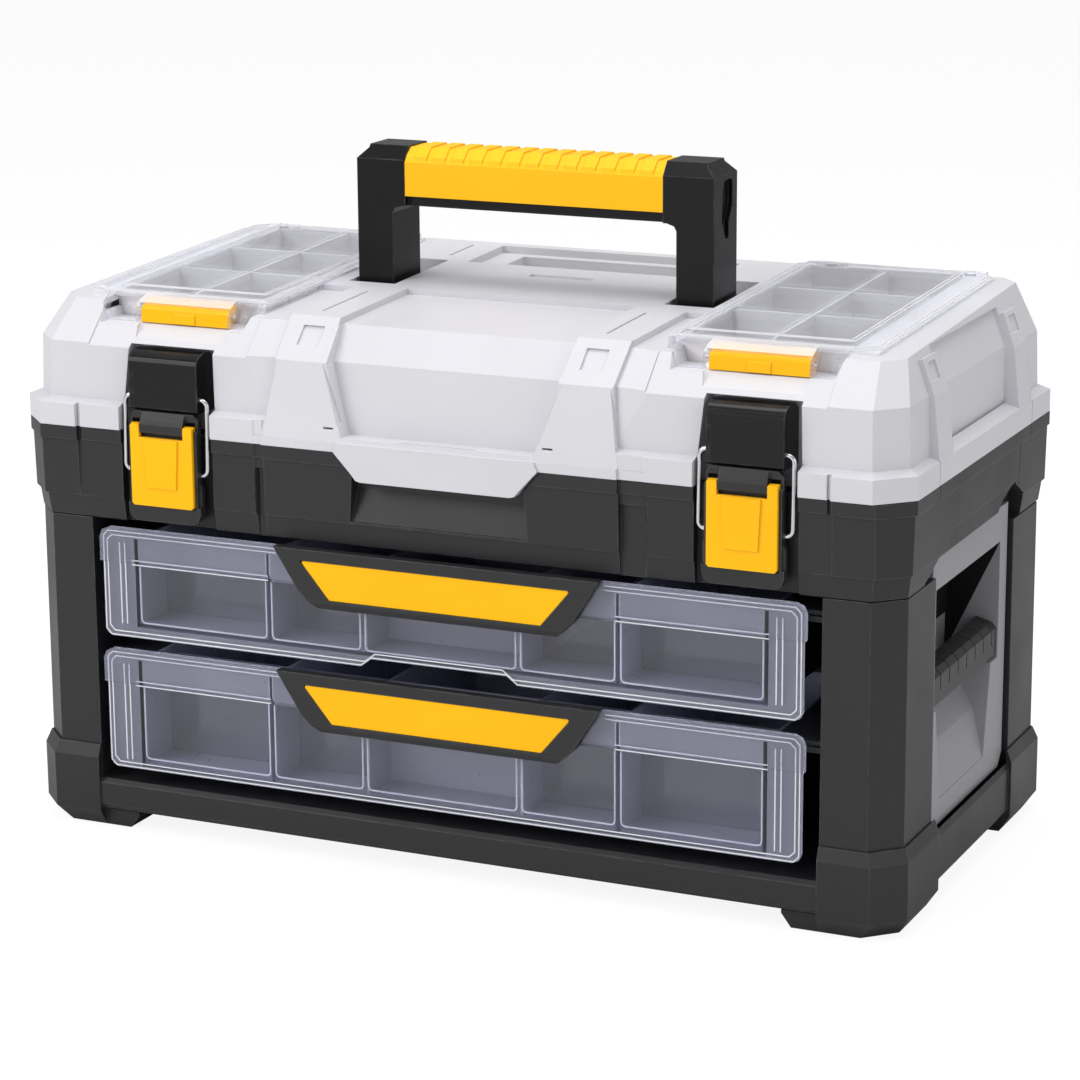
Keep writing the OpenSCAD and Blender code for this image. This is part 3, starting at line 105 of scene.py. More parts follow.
class BoxSurfaces(PropertyGroup):
    """Sizes of the fine surface detail."""

    edge_radius: FloatProperty(
        name="Edge radius", description="Rounding of the moulded edges",
        subtype="DISTANCE", unit="LENGTH", min=0, max=0.003, default=0.7 * MM)
    # Width of the band along an edge that is lightened partly as real wear and partly as painted highlight
    wear_and_highlight_width: FloatProperty(
        name="Wear and highlight width", description="Width of the polished band along an edge",
        subtype="DISTANCE", unit="LENGTH", min=0, max=0.004, default=1.1 * MM)
    grain_size: FloatProperty(
        name="Grain size", description="Size of the spark-eroded grain of the plastics",
        subtype="DISTANCE", unit="LENGTH", min=0.0002, max=0.004, default=0.9 * MM)
    cloud_size: FloatProperty(
        name="Cloud size", description="Size of the soft changes of tone over a moulding",
        subtype="DISTANCE", unit="LENGTH", min=0.01, max=0.5, default=70 * MM)


class BoxStudio(PropertyGroup):
    """Camera and lamps."""

    yaw: FloatProperty(
        name="Yaw", description="Turn of the camera round the box, from straight ahead to the right",
        subtype="ANGLE", unit="ROTATION", default=math.radians(24.623))
    pitch: FloatProperty(
        name="Pitch", description="Height angle of the camera",
        subtype="ANGLE", unit="ROTATION", default=math.radians(14.439))
    roll: FloatProperty(
        name="Roll", description="Turn of the camera about its own axis",
        subtype="ANGLE", unit="ROTATION", default=math.radians(-0.379))
    distance: FloatProperty(
        name="Distance", description="Distance of the camera from the box",
        subtype="DISTANCE", unit="LENGTH", min=0.5, max=10, default=2.0841)
    aim_height: FloatProperty(
        name="Aim height", description="Height of the point that the camera looks at",
        subtype="DISTANCE", unit="LENGTH", default=0.17055)
    lens: FloatProperty(
        name="Lens", description="Focal length of the camera",
        subtype="DISTANCE_CAMERA", unit="CAMERA", min=20, max=300, default=114.589)
    key_power: FloatProperty(
        name="Key lamp", description="Power of the large lamp in front and to the left",
        unit="POWER", min=0, max=500, default=30)
    top_power: FloatProperty(
        name="Top lamp", description="Power of the lamp over the box",
        unit="POWER", min=0, max=500, default=27)
    fill_power: FloatProperty(
        name="Fill lamp", description="Power of the lamp on the right",
        unit="POWER", min=0, max=500, default=9)
    front_power: FloatProperty(
        name="Front lamp", description="Power of the low lamp straight in front",
        unit="POWER", min=0, max=500, default=5)
    room_light: FloatProperty(
        name="Room light", description="Level of the even light from all round",
        min=0, max=2, default=0.42)
    backdrop_size: FloatProperty(
        name="Backdrop size", description="Width of the floor",
        subtype="DISTANCE", unit="LENGTH", min=1, max=40, default=16)


def plastics():
    return bpy.context.scene.tool_box_plastics


def surfaces():
    return bpy.context.scene.tool_box_surfaces


def studio():
    return bpy.context.scene.tool_box_studio


# ---------- shared shader groups ----------

class Group:
    """A shader node group under construction."""

    def __init__(self, name, inputs, outputs):
        self.tree = bpy.data.node_groups.new(name, "ShaderNodeTree")
        for label, kind, value in inputs:
            socket = self.tree.interface.new_socket(label, in_out="INPUT", socket_type=kind)
            socket.default_value = value
        for label, kind in outputs:
            self.tree.interface.new_socket(label, in_out="OUTPUT", socket_type=kind)
        self.start = self.tree.nodes.new("NodeGroupInput")
        self.end = self.tree.nodes.new("NodeGroupOutput")


def node(tree, kind, **settings):
    made = tree.nodes.new("ShaderNode" + kind)
    for name, value in settings.items():
        setattr(made, name, value)
    return made


def link(tree, source, target):
    tree.links.new(source, target)


def maths(tree, operation, first, second=None, clamp=False):
    """Math node over sockets or plain numbers."""
    made = node(tree, "Math", operation=operation, use_clamp=clamp)
    for slot, value in enumerate((first, second)):
        if value is None:
            continue
        if isinstance(value, (int, float)):
            made.inputs[slot].default_value = value
        else:
            link(tree, value, made.inputs[slot])
    return made.outputs[0]


def remap(tree, value, low, high, start=0.0, end=1.0):
    """Map Range node, clamped."""
    made = node(tree, "MapRange")
    link(tree, value, made.inputs["Value"])
    made.inputs["From Min"].default_value = low
    made.inputs["From Max"].default_value = high
    made.inputs["To Min"].default_value = start
    made.inputs["To Max"].default_value = end
    return made.outputs["Result"]


def noise(tree, size, detail, roughness=0.5):
    """Noise over the object's own coordinates, of a size in metres, as a number or a socket."""
    place = node(tree, "TexCoord")
    made = node(tree, "TexNoise")
    made.inputs["Detail"].default_value = detail
    made.inputs["Roughness"].default_value = roughness
    link(tree, place.outputs["Object"], made.inputs["Vector"])
    if isinstance(size, (int, float)):
        made.inputs["Scale"].default_value = 1 / size
    else:
        link(tree, maths(tree, "DIVIDE", 1.0, size), made.inputs["Scale"])
    return made.outputs["Fac"]


def grain_group():
    """Spark-eroded grain: a height and a slow change of tone."""
    group = Group("Moulded grain", [
        ("Size", "NodeSocketFloat", 0.9 * MM),
        ("Cloud Size", "NodeSocketFloat", 70 * MM)],
        [("Height", "NodeSocketFloat"), ("Tone", "NodeSocketFloat")])
    tree = group.tree
    fine = noise(tree, group.start.outputs["Size"], 4.0, 0.62)
    cloud = noise(tree, group.start.outputs["Cloud Size"], 3.0)
    link(tree, remap(tree, fine, 0.28, 0.72), group.end.inputs["Height"])
    link(tree, remap(tree, cloud, 0.3, 0.7), group.end.inputs["Tone"])
    return tree


def wear_and_highlight_group():
    """Polished and scuffed edges, lightened partly as real wear and partly as painted highlight: a mask."""
    group = Group("Edge wear", [
        ("Width", "NodeSocketFloat", 1.1 * MM),
        ("Amount", "NodeSocketFloat", 0.5)],
        [("Mask", "NodeSocketFloat")])
    tree = group.tree
    bevel = node(tree, "Bevel", samples=6)
    link(tree, group.start.outputs["Width"], bevel.inputs["Radius"])
    shape = node(tree, "NewGeometry")
    same = node(tree, "VectorMath", operation="DOT_PRODUCT")
    link(tree, bevel.outputs["Normal"], same.inputs[0])
    link(tree, shape.outputs["Normal"], same.inputs[1])
    edge = remap(tree, same.outputs["Value"], 0.999, 0.94)
    broken = remap(tree, noise(tree, 9 * MM, 5.0, 0.7), 0.36, 0.62)
    part = maths(tree, "MULTIPLY", edge, broken)
    link(tree, maths(tree, "MULTIPLY", part, group.start.outputs["Amount"], clamp=True),
         group.end.inputs["Mask"])
    return tree


def dust_group():
    """Fine dust that settles on faces that look up: a mask."""
    group = Group("Settled dust", [
        ("Size", "NodeSocketFloat", 12 * MM),
        ("Amount", "NodeSocketFloat", 0.3)],
        [("Mask", "NodeSocketFloat")])
    tree = group.tree
    shape = node(tree, "NewGeometry")
    parts = node(tree, "SeparateXYZ")
    link(tree, shape.outputs["Normal"], parts.inputs[0])
    flat = remap(tree, parts.outputs["Z"], 0.55, 1.0)
    patch = remap(tree, noise(tree, group.start.outputs["Size"], 6.0, 0.7), 0.42, 0.75)
    part = maths(tree, "MULTIPLY", flat, patch)
    link(tree, maths(tree, "MULTIPLY", part, group.start.outputs["Amount"], clamp=True),
         group.end.inputs["Mask"])
    return tree


def soft_edge_group():
    """Rounded edges with the grain over them: a normal."""
    group = Group("Soft edges", [
        ("Radius", "NodeSocketFloat", 0.7 * MM),
        ("Height", "NodeSocketFloat", 0.5),
        ("Strength", "NodeSocketFloat", 0.2),
        ("Depth", "NodeSocketFloat", 0.05 * MM)],
        [("Normal", "NodeSocketVector")])
    tree = group.tree
    bevel = node(tree, "Bevel", samples=6)
    link(tree, group.start.outputs["Radius"], bevel.inputs["Radius"])
    bump = node(tree, "Bump")
    link(tree, group.start.outputs["Strength"], bump.inputs["Strength"])
    link(tree, group.start.outputs["Depth"], bump.inputs["Distance"])
    link(tree, group.start.outputs["Height"], bump.inputs["Height"])
    link(tree, bevel.outputs["Normal"], bump.inputs["Normal"])
    link(tree, bump.outputs["Normal"], group.end.inputs["Normal"])
    return tree


EFFECTS = {
    "Moulded grain": grain_group,
    "Edge wear": wear_and_highlight_group,
    "Settled dust": dust_group,
    "Soft edges": soft_edge_group,
}


def effect(tree, name, **values):
    """Place a shared group in a material. Each value is a number or a socket."""
    made = tree.nodes.new("ShaderNodeGroup")
    made.node_tree = bpy.data.node_groups.get(name) or EFFECTS[name]()
    for label, value in values.items():
        socket = made.inputs[label.replace("_", " ")]
        if isinstance(value, (int, float)):
            socket.default_value = value
        else:
            link(tree, value, socket)
    return made.outputs


# ---------- materials ----------

def bare_material(name):
    """Material with only a Principled shader. Gives the material, its tree, the shader and the output."""
    made = bpy.data.materials.new(name)
    made.use_nodes = True
    tree = made.node_tree
    tree.nodes.clear()
    output = node(tree, "OutputMaterial")
    shader = node(tree, "BsdfPrincipled")
    link(tree, shader.outputs[0], output.inputs["Surface"])
    return made, tree, shader, output


def tint(tree, base, other, mask):
    """Colour base turned towards other where the mask says. Base and other are colours or sockets."""
    mix = node(tree, "Mix", data_type="RGBA", clamp_factor=True)
    link(tree, mask, mix.inputs[0])
    for slot, colour in ((6, base), (7, other)):
        if isinstance(colour, (tuple, list)):
            mix.inputs[slot].default_value = (*colour[:3], 1)
        else:
            link(tree, colour, mix.inputs[slot])
    return mix.outputs[2]


def scaled(colour, factor):
    return tuple(min(1.0, part * factor) for part in colour)


def towards(colour, other, share):
    return tuple(a + (b - a) * share for a, b in zip(colour, other))


# Tones that scuffed edges, lightened partly as real wear and partly as painted highlight, and dust turn a
# plastic towards, and how far
SCUFF_AND_HIGHLIGHT_TONE = (0.8, 0.8, 0.82)
SCUFF_AND_HIGHLIGHT_SHARE = 0.16
DUST_TONE = (0.6, 0.6, 0.6)
DUST_SHARE = 0.2
# How much smoother a scuffed edge is, and how far the roughness of a moulding wanders
POLISH = 0.12
ROUGHNESS_SPREAD = 0.05


# wear sets how strongly the edges are lightened, partly as real wear and partly as painted highlight
def moulded_plastic(name, colour, roughness, grain=0.2, wear=0.3, dust=0.15, shade=0.9, specular=0.5):
    """Opaque moulded plastic with grain, soft edges, polished edges lightened partly as wear and partly as
    painted highlight, and a little dust.
    """
    made, tree, shader, _ = bare_material(name)
    sizes = surfaces()
    base = tuple(colour)
    skin = effect(tree, "Moulded grain", Size=sizes.grain_size, Cloud_Size=sizes.cloud_size)
    worn_and_highlit = effect(tree, "Edge wear", Width=sizes.wear_and_highlight_width, Amount=wear)["Mask"]
    dusty = effect(tree, "Settled dust", Amount=dust)["Mask"]
    ground = tint(tree, scaled(base, shade), base, skin["Tone"])
    edged = tint(tree, ground, towards(base, SCUFF_AND_HIGHLIGHT_TONE, SCUFF_AND_HIGHLIGHT_SHARE), worn_and_highlit)
    dulled = tint(tree, edged, towards(base, DUST_TONE, DUST_SHARE), dusty)
    link(tree, dulled, shader.inputs["Base Color"])
    rough = remap(tree, skin["Tone"], 0, 1, roughness - ROUGHNESS_SPREAD, roughness + ROUGHNESS_SPREAD)
    polished = maths(tree, "MULTIPLY", worn_and_highlit, -POLISH)
    link(tree, maths(tree, "ADD", rough, polished, clamp=True), shader.inputs["Roughness"])
    normal = effect(tree, "Soft edges", Radius=sizes.edge_radius, Height=skin["Height"], Strength=grain)
    link(tree, normal["Normal"], shader.inputs["Normal"])
    shader.inputs["Specular IOR Level"].default_value = specular
    return made


# Refractive index of the clear plastics, size of their faint unevenness and the darker end of their tone
PLASTIC_IOR = 1.45
CLEAR_GRAIN = 6 * MM
CLEAR_SHADE = 0.94
# Tint of what passes straight through a wall, and through a piece that lets nearly all light pass
WALL_TINT = 0.92
OPEN_TINT = 1.05
NEARLY_ALL = 0.9


def clear_plastic(name, colour, roughness, clearness, haze=0.03, open_share=0.0, light_share=0.85):
    """Clear or frosted plastic.

    A share light_share of the lamps' light and a share open_share of all other rays go straight through."""
    made, tree, shader, output = bare_material(name)
    sizes = surfaces()
    base = tuple(colour)
    skin = effect(tree, "Moulded grain", Size=CLEAR_GRAIN, Cloud_Size=sizes.cloud_size)
    link(tree, tint(tree, scaled(base, CLEAR_SHADE), base, skin["Tone"]), shader.inputs["Base Color"])
    uneven = remap(tree, skin["Height"], 0, 1, roughness - haze, roughness + haze)
    link(tree, uneven, shader.inputs["Roughness"])
    shader.inputs["Transmission Weight"].default_value = clearness
    shader.inputs["IOR"].default_value = PLASTIC_IOR
    ray = node(tree, "LightPath")
    passing = node(tree, "BsdfTransparent")
    passed = WALL_TINT if light_share < NEARLY_ALL else OPEN_TINT
    passing.inputs["Color"].default_value = (*scaled(base, passed), 1)
    mix = node(tree, "MixShader")
    shade = maths(tree, "MULTIPLY", ray.outputs["Is Shadow Ray"], light_share)
    link(tree, maths(tree, "MAXIMUM", shade, open_share), mix.inputs[0])
    link(tree, shader.outputs[0], mix.inputs[1])
    link(tree, passing.outputs[0], mix.inputs[2])
    link(tree, mix.outputs[0], output.inputs["Surface"])
    return made


# Noise cells per metre along X, Y and Z, so that the lines run up the latch wires
WIRE_LINES = (2600, 2600, 120)


def drawn_wire(name, colour):
    """Bright drawn steel with fine upright lines."""
    made, tree, shader, _ = bare_material(name)
    shader.inputs["Metallic"].default_value = 1.0
    place = node(tree, "TexCoord")
    stretch = node(tree, "Mapping")
    stretch.inputs["Scale"].default_value = WIRE_LINES
    lines = node(tree, "TexNoise")
    lines.inputs["Scale"].default_value = 1.0
    lines.inputs["Detail"].default_value = 2.0
    link(tree, place.outputs["Object"], stretch.inputs["Vector"])
    link(tree, stretch.outputs["Vector"], lines.inputs["Vector"])
    base = tuple(colour)
    link(tree, tint(tree, scaled(base, 0.82), base, lines.outputs["Fac"]), shader.inputs["Base Color"])
    link(tree, remap(tree, lines.outputs["Fac"], 0.3, 0.7, 0.14, 0.3), shader.inputs["Roughness"])
    return made


MATERIALS = {
    "Charcoal plastic": lambda: moulded_plastic(
        "Charcoal plastic", plastics().charcoal, 0.46, grain=0.3, wear=0.4, dust=0.08, specular=0.38),
    "Lid grey": lambda: moulded_plastic(
        "Lid grey", plastics().lid, 0.42, grain=0.08, wear=0.12, dust=0.06, shade=0.965, specular=0.4),
    # Dark painted shade for the side panels' recesses over the grips
    "Recess dark": lambda: moulded_plastic(
        "Recess dark", scaled(plastics().charcoal, 0.3), 0.6, grain=0.3, wear=0.1, dust=0.0, specular=0.2),
    "Panel grey": lambda: moulded_plastic(
        "Panel grey", plastics().panel, 0.5, grain=0.25, wear=0.25),
    "Handle black": lambda: moulded_plastic(
        "Handle black", plastics().handle, 0.34, grain=0.2, wear=0.5, dust=0.03, specular=0.22),
    "Hood black": lambda: moulded_plastic(
        "Hood black", plastics().handle, 0.26, grain=0.05, wear=0.5, dust=0.04, specular=0.26),
    "Accent yellow": lambda: moulded_plastic(
        "Accent yellow", plastics().accent, 0.4, grain=0.14, wear=0.12, dust=0.0, shade=0.95, specular=0.2),
    "Grip yellow": lambda: moulded_plastic(
        "Grip yellow", plastics().accent, 0.5, grain=0.3, wear=0.12, dust=0.0, shade=0.95, specular=0.25),
    "Clear front": lambda: clear_plastic("Clear front", plastics().front, 0.03, 1.0, 0.01),
    "Frosted wall": lambda: clear_plastic("Frosted wall", plastics().frosted, 0.3, 0.3),
    "Clear wall": lambda: clear_plastic("Clear wall", plastics().front, 0.1, 0.92),
    "Frosted sheet": lambda: clear_plastic(
        "Frosted sheet", towards(plastics().frosted, plastics().front, 0.12), 0.3, 0.56),
    "Frosted back": lambda: clear_plastic(
        "Frosted back", towards(plastics().frosted, plastics().wire, 0.4), 0.3, 0.3),
    # Dark painted shade on the drawers' side walls, in the gap beside the housing's posts
    "Smoked wall": lambda: clear_plastic("Smoked wall", scaled(plastics().frosted, 0.08), 0.3, 0.2),
    # Painted highlight: pale strips along the thick edges of the clear plastic
    "Bright edge": lambda: clear_plastic("Bright edge", plastics().edge, 0.25, 0.2),
    "Frosted tray": lambda: clear_plastic("Frosted tray", scaled(plastics().cover, 0.86), 0.25, 0.05),
    # Painted shade on the floors of the organisers' cells, darker than the walls of the same tray
    "Tray floor": lambda: clear_plastic("Tray floor", scaled(plastics().cover, 0.38), 0.25, 0.05),
    "Clear cover": lambda: clear_plastic("Clear cover", plastics().cover, 0.05, 0.97, 0.02, 0.68, 1.0),
    "Frosted brow": lambda: clear_plastic("Frosted brow", plastics().edge, 0.3, 0.45),
    "Bright wire": lambda: drawn_wire("Bright wire", plastics().wire),
}


def material(name):
    return bpy.data.materials.get(name) or MATERIALS[name]()


def dress(name, *nodes):
    """Give CAD nodes a material."""
    for part in nodes:
        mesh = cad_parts[part].data
        mesh.materials.clear()
        mesh.materials.append(material(name))


def dress_faces(part, choose):
    """Give each face of a CAD node the material that choose names for its middle and its normal."""
    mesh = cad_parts[part].data
    mesh.materials.clear()
    slots = []
    for face in mesh.polygons:
        name = choose(face.center, face.normal)
        if name not in slots:
            slots.append(name)
            mesh.materials.append(material(name))
        face.material_index = slots.index(name)


def both(name):
    return [f"{name}_{side}" for side in SIDES]


def stacked(name):
    return [f"{name}_{level}" for level in LEVELS]


# ---------- strips of painted highlight ---

def offset_pair(before, here, after, half):
    """Two points beside a corner of a path, with mitred joints."""
    ways = [(here - before).normalized(), (after - here).normalized()]
    sides = [Vector((-way.y, way.x)) for way in ways]
    middle = (sides[0] + sides[1]).normalized()
    reach = half / max(0.4, middle.dot(sides[0]))
    return here + middle * reach, here - middle * reach


def rounded_path(points, radius, steps=4):
    """Path with its inner corners rounded. The two ends stay."""
    path = [Vector(points[0])]
    for before, here, after in zip(points, points[1:], points[2:]):
        here = Vector(here)
        start = here + (Vector(before) - here).normalized() * radius
        end = here + (Vector(after) - here).normalized() * radius
        for step in range(steps + 1):
            share = step / steps
            path.append(start.lerp(here, share).lerp(here.lerp(end, share), share))
    path.append(Vector(points[-1]))
    return path


def beads(name, paths, width, place, surface, body):
    """Square strips along flat paths, in one mesh.

    Each path is a list of 2-D points and whether it closes. Place turns a 2-D point and a depth of 0 or 1
    into a point of the object."""
    corners, faces = [], []
    for path, closed in paths:
        path = [Vector(point) for point in path]
        count = len(path)
        first = len(corners)
        for index, here in enumerate(path):
            before = path[index - 1] if closed or index else here * 2 - path[1]
            after = path[(index + 1) % count] if closed or index < count - 1 else here * 2 - path[-2]
            left, right = offset_pair(before, here, after, width / 2)
            corners += [place(left, 0), place(right, 0), place(right, 1), place(left, 1)]
        for index in range(count if closed else count - 1):
            near, far = first + 4 * index, first + 4 * ((index + 1) % count)
            faces += [(near + a, near + (a + 1) % 4, far + (a + 1) % 4, far + a) for a in range(4)]
        if not closed:
            last = first + 4 * (count - 1)
            faces += [(first + 3, first + 2, first + 1, first), (last, last + 1, last + 2, last + 3)]
    mesh = bpy.data.meshes.new(name)
    mesh.from_pydata(corners, [], faces)
    made = bpy.data.objects.new(name, mesh)
    bpy.context.scene.collection.objects.link(made)
    work = bmesh.new()
    work.from_mesh(mesh)
    bmesh.ops.recalc_face_normals(work, faces=work.faces)
    work.to_mesh(mesh)
    work.free()
    mesh.materials.append(material(surface))
    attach(made, body)
    return made


# Per drawer in mm: height of its foot, height of its front, rise of the foot in the middle, and height of the
# cells' floor over the foot
DRAWERS = {"upper": (123.3, 67.0, 5.0, 9.2), "lower": (41.0, 74.3, 0.0, 6.6)}
# Left and right side of each cell in mm, and the two faces of the wall beside each outer cell
CELLS = ((-198.4, -112.4), (-109.6, -50.7), (-48.3, 48.3), (50.7, 109.6), (112.4, 198.4))
OUTER_WALLS = ((-112.4, -109.6), (109.6, 112.4))
# Front panel of a drawer in mm: its back, its front, half its width, and its ledge's drop from its top
PANEL_BACK = -138.0
PANEL_FRONT = -141.0
PANEL_HALF = 221.8
LEDGE_DROP = 20.4
# Strips of painted highlight behind the panel in mm: their gap to it, their width, how far they lie inside a
# cell, the rounding of its corners and their drop from the ledge, and where the strips of the outer walls
# start and stop
BEAD_GAP = 0.1
CELL_BEAD = 0.9
CELL_INSET = 0.5
CELL_CORNER = 3
CELL_DROP = 3
WALL_RISE = 1
WALL_DROP = 6
# Strips of painted highlight on the panel in mm: their width and depth, how far they stand proud, and how far
# in the rims lie
RIM_BEAD = 0.7
RIM_DEPTH = 0.35
RIM_PROUD = 0.3
RIM_INSETS = (0.9, 3.4)
# Shape of a rim in mm: its drop from the panel's top, its corners, half the gap for the pull, and half the
# width of the notch in the panel's foot below and above
RIM_DROP = 1.2
RIM_CORNER = 3.2
PULL_HALF = 104
NOTCH_FOOT = 50.8
NOTCH_HEAD = 44
# Upright lines of painted highlight near the panel's ends in mm, how far they reach under the cells' floor
# and stop from the top
END_LINES = (-210, -206.5, 206.5, 210)
END_LINE_REACH = 1
END_LINE_DROP = 9
# The two lines of painted highlight along the ledge in mm: their heights over it and their ends
LEDGE_LINES = (-1.4, 1.3)
LEDGE_ENDS = (110, 202)


def rim_path(level, inset):
    """Outline of a drawer's front panel, moved in by the inset and open where the pull is."""
    foot, tall, notch, _ = DRAWERS[level]
    x = PANEL_HALF - inset
    top, low = foot + tall - RIM_DROP - inset, foot + inset
    return [
        (PULL_HALF, top), (x - RIM_CORNER, top), (x, top - RIM_CORNER),
        (x, low + RIM_CORNER), (x - RIM_CORNER, low),
        (NOTCH_FOOT - inset, low), (NOTCH_HEAD - inset, low + notch),
        (-NOTCH_HEAD + inset, low + notch), (-NOTCH_FOOT + inset, low),
        (-x + RIM_CORNER, low), (-x, low + RIM_CORNER),
        (-x, top - RIM_CORNER), (-x + RIM_CORNER, top), (-PULL_HALF, top)]


def add_drawer_highlights(level):
    """Painted highlights along the thick edges of a drawer: its cells behind the front panel, its rim and
    ledge on the panel.
    """
    foot, tall, _, floor = DRAWERS[level]
    ledge = foot + tall - LEDGE_DROP

    def at_panel(depth, start=BEAD_GAP):
        def place(point, far):
            return Vector((point.x, PANEL_BACK + start + depth * far, point.y)) * MM
        return place

    cells = []
    for left, right in CELLS:
        left, right = left + CELL_INSET, right - CELL_INSET
        top, bottom = ledge - CELL_DROP, foot + floor
        path = [(left, top), (left, bottom), (right, bottom), (right, top)]
        cells.append((rounded_path(path, CELL_CORNER), False))
    for wall in OUTER_WALLS:
        for x in wall:
            cells.append(([(x, ledge + WALL_RISE), (x, foot + tall - WALL_DROP)], False))
    beads(f"cell_beads_{level}", cells, CELL_BEAD, at_panel(CELL_BEAD), "Bright edge", f"drawer_{level}")
    rims = [(rim_path(level, inset), False) for inset in RIM_INSETS]
    for x in END_LINES:
        rims.append(([(x, foot + floor - END_LINE_REACH), (x, foot + tall - END_LINE_DROP)], False))
    for rise in LEDGE_LINES:
        for sign in (-1, 1):
            rims.append(([(sign * end, ledge + rise) for end in LEDGE_ENDS], False))
    on_panel = at_panel(RIM_DEPTH, PANEL_FRONT - PANEL_BACK - RIM_PROUD)
    beads(f"rim_beads_{level}", rims, RIM_BEAD, on_panel, "Bright edge", f"drawer_{level}")


# Deck of the lid: its height in the middle in mm, and its slope
DECK_HEIGHT = 325.1
DECK_SLOPE = math.radians(2)
# Middle of an organiser, and height of its cover's top over the deck, in mm
ORGANISER_X = 182.5
COVER_TOP = 4.0
# Corners of an organiser's cover and of its raised window in mm, from its middle, seen from above
COVER_RIM = (
    (-55.5, -103.5), (52.5, -103.5), (66.5, -94.5), (66.5, 100), (57.5, 109), (-46.5, 109), (-55.5, 100))
WINDOW_RIM = ((-49.5, -92), (49.5, -92), (49.5, 104), (-49.5, 104))
# Middle lines of the walls between the cells of an organiser
CELL_WALLS = (((0, -89), (0, 101)), ((-46.5, -24), (46.5, -24)), ((-46.5, 40), (46.5, 40)))
# Strips of painted highlight on the cover and on its window in mm: how far in they lie, their widths, their
# depth, how far the cover's are sunk in it, and how far over its top the window's start
COVER_INSETS = (0.6, 3.0)
WINDOW_INSETS = (0.6, 3.2)
COVER_STRIP = 0.9
WINDOW_STRIP = 0.8
STRIP_DEPTH = 0.45
STRIP_SINK = 0.02
WINDOW_START = 1.08
# Strips of painted highlight on the cell walls in mm: their width, their depth, and how far over the deck
# they start
CELL_STRIP = 2.0
CELL_STRIP_DEPTH = 0.7
CELL_STRIP_START = 1.7


def shrunk(corners, inset):
    """Corners of a closed outline moved in by about the inset."""
    count = len(corners)
    moved = []
    for index, here in enumerate(corners):
        before, after = corners[index - 1], corners[(index + 1) % count]
        moved.append(offset_pair(Vector(before), Vector(here), Vector(after), inset)[0])
    return moved


def add_organiser_highlights(side):
    """Painted highlights along the rims of an organiser's cover and of the walls under it."""
    sign = -1 if side == "left" else 1

    def above(start, depth):
        def place(point, far):
            high = start + depth * far
            return Vector((
                sign * (ORGANISER_X + point.x),
                point.y * math.cos(DECK_SLOPE) - high * math.sin(DECK_SLOPE),
                DECK_HEIGHT + point.y * math.sin(DECK_SLOPE) + high * math.cos(DECK_SLOPE))) * MM
        return place

    on_cover = above(COVER_TOP - STRIP_SINK, STRIP_DEPTH)
    rims = [(shrunk(COVER_RIM, inset), True) for inset in COVER_INSETS]
    beads(f"cover_rim_{side}", rims, COVER_STRIP, on_cover, "Bright edge", f"cover_{side}")
    on_window = above(COVER_TOP + WINDOW_START, STRIP_DEPTH)
    window = [(shrunk(WINDOW_RIM, inset), True) for inset in WINDOW_INSETS]
    beads(f"window_rim_{side}", window, WINDOW_STRIP, on_window, "Bright edge", f"cover_{side}")
    on_walls = above(CELL_STRIP_START, CELL_STRIP_DEPTH)
    walls = [(wall, False) for wall in CELL_WALLS]
    beads(f"cell_rim_{side}", walls, CELL_STRIP, on_walls, "Bright edge", "lid")


# ---------- operators ----------

class ToolBoxOperator(Operator):
    """Base of the operators below."""

    bl_options = {"REGISTER", "UNDO"}

    def execute(self, context):
        self.make(context)
        return {"FINISHED"}


class FinishHousing(ToolBoxOperator):
    """Dress the base, the drawer housing and the upper box"""

    bl_idname = "tool_box.finish_housing"
    bl_label = "Housing"

    def make(self, context):
        dress("Charcoal plastic", "base_frame", "drawer_housing", "upper_box")


class FinishLid(ToolBoxOperator):
    """Dress the lid and its hinge pins"""

    bl_idname = "tool_box.finish_lid"
    bl_label = "Lid"

    def make(self, context):
        dress("Lid grey", "lid_shell")
        dress("Bright wire", "lid_hinge_pins")


class FinishHandle(ToolBoxOperator):
    """Dress the carrying handle and its grip"""

    bl_idname = "tool_box.finish_handle"
    bl_label = "Carrying handle"

    def make(self, context):
        dress("Handle black", "handle_frame")
        dress("Grip yellow", "handle_grip")
        dress("Bright wire", "handle_pins")


class FinishLatches(ToolBoxOperator):
    """Dress the two front latches"""

    bl_idname = "tool_box.finish_latches"
    bl_label = "Latches"

    def make(self, context):
        dress("Hood black", *both("latch_hood"))
        dress("Bright wire", *both("latch_bail"), *both("latch_tab_pin"))
        dress("Charcoal plastic", *both("latch_plate"))
        dress("Accent yellow", *both("latch_tab"))


# How far a normal points along an axis on a face that is square to it, and on one that leans that way
SQUARE_ON = 0.9
LEANS = 0.6
# Front, back and two ends of a cover's brow in metres, the ends from the middle of the box
BROW_FRONT = -0.1145
BROW_BACK = -0.1035
BROW_ENDS = (0.150, 0.215)
# Height in metres under which a flat face of an organiser's tray is the floor of a cell, which gets a darker
# painted shade
TRAY_FLOOR_BELOW = 0.3


def is_brow(middle, normal):
    """Is a face of a cover on its brow, over the yellow latch?"""
    near, far = BROW_ENDS
    return normal.z > LEANS and BROW_FRONT < middle.y < BROW_BACK and near < abs(middle.x) < far


def is_tray_floor(middle, normal):
    """Is a face of an organiser's tray on the floor of a cell?"""
    return normal.z > SQUARE_ON and middle.z < TRAY_FLOOR_BELOW


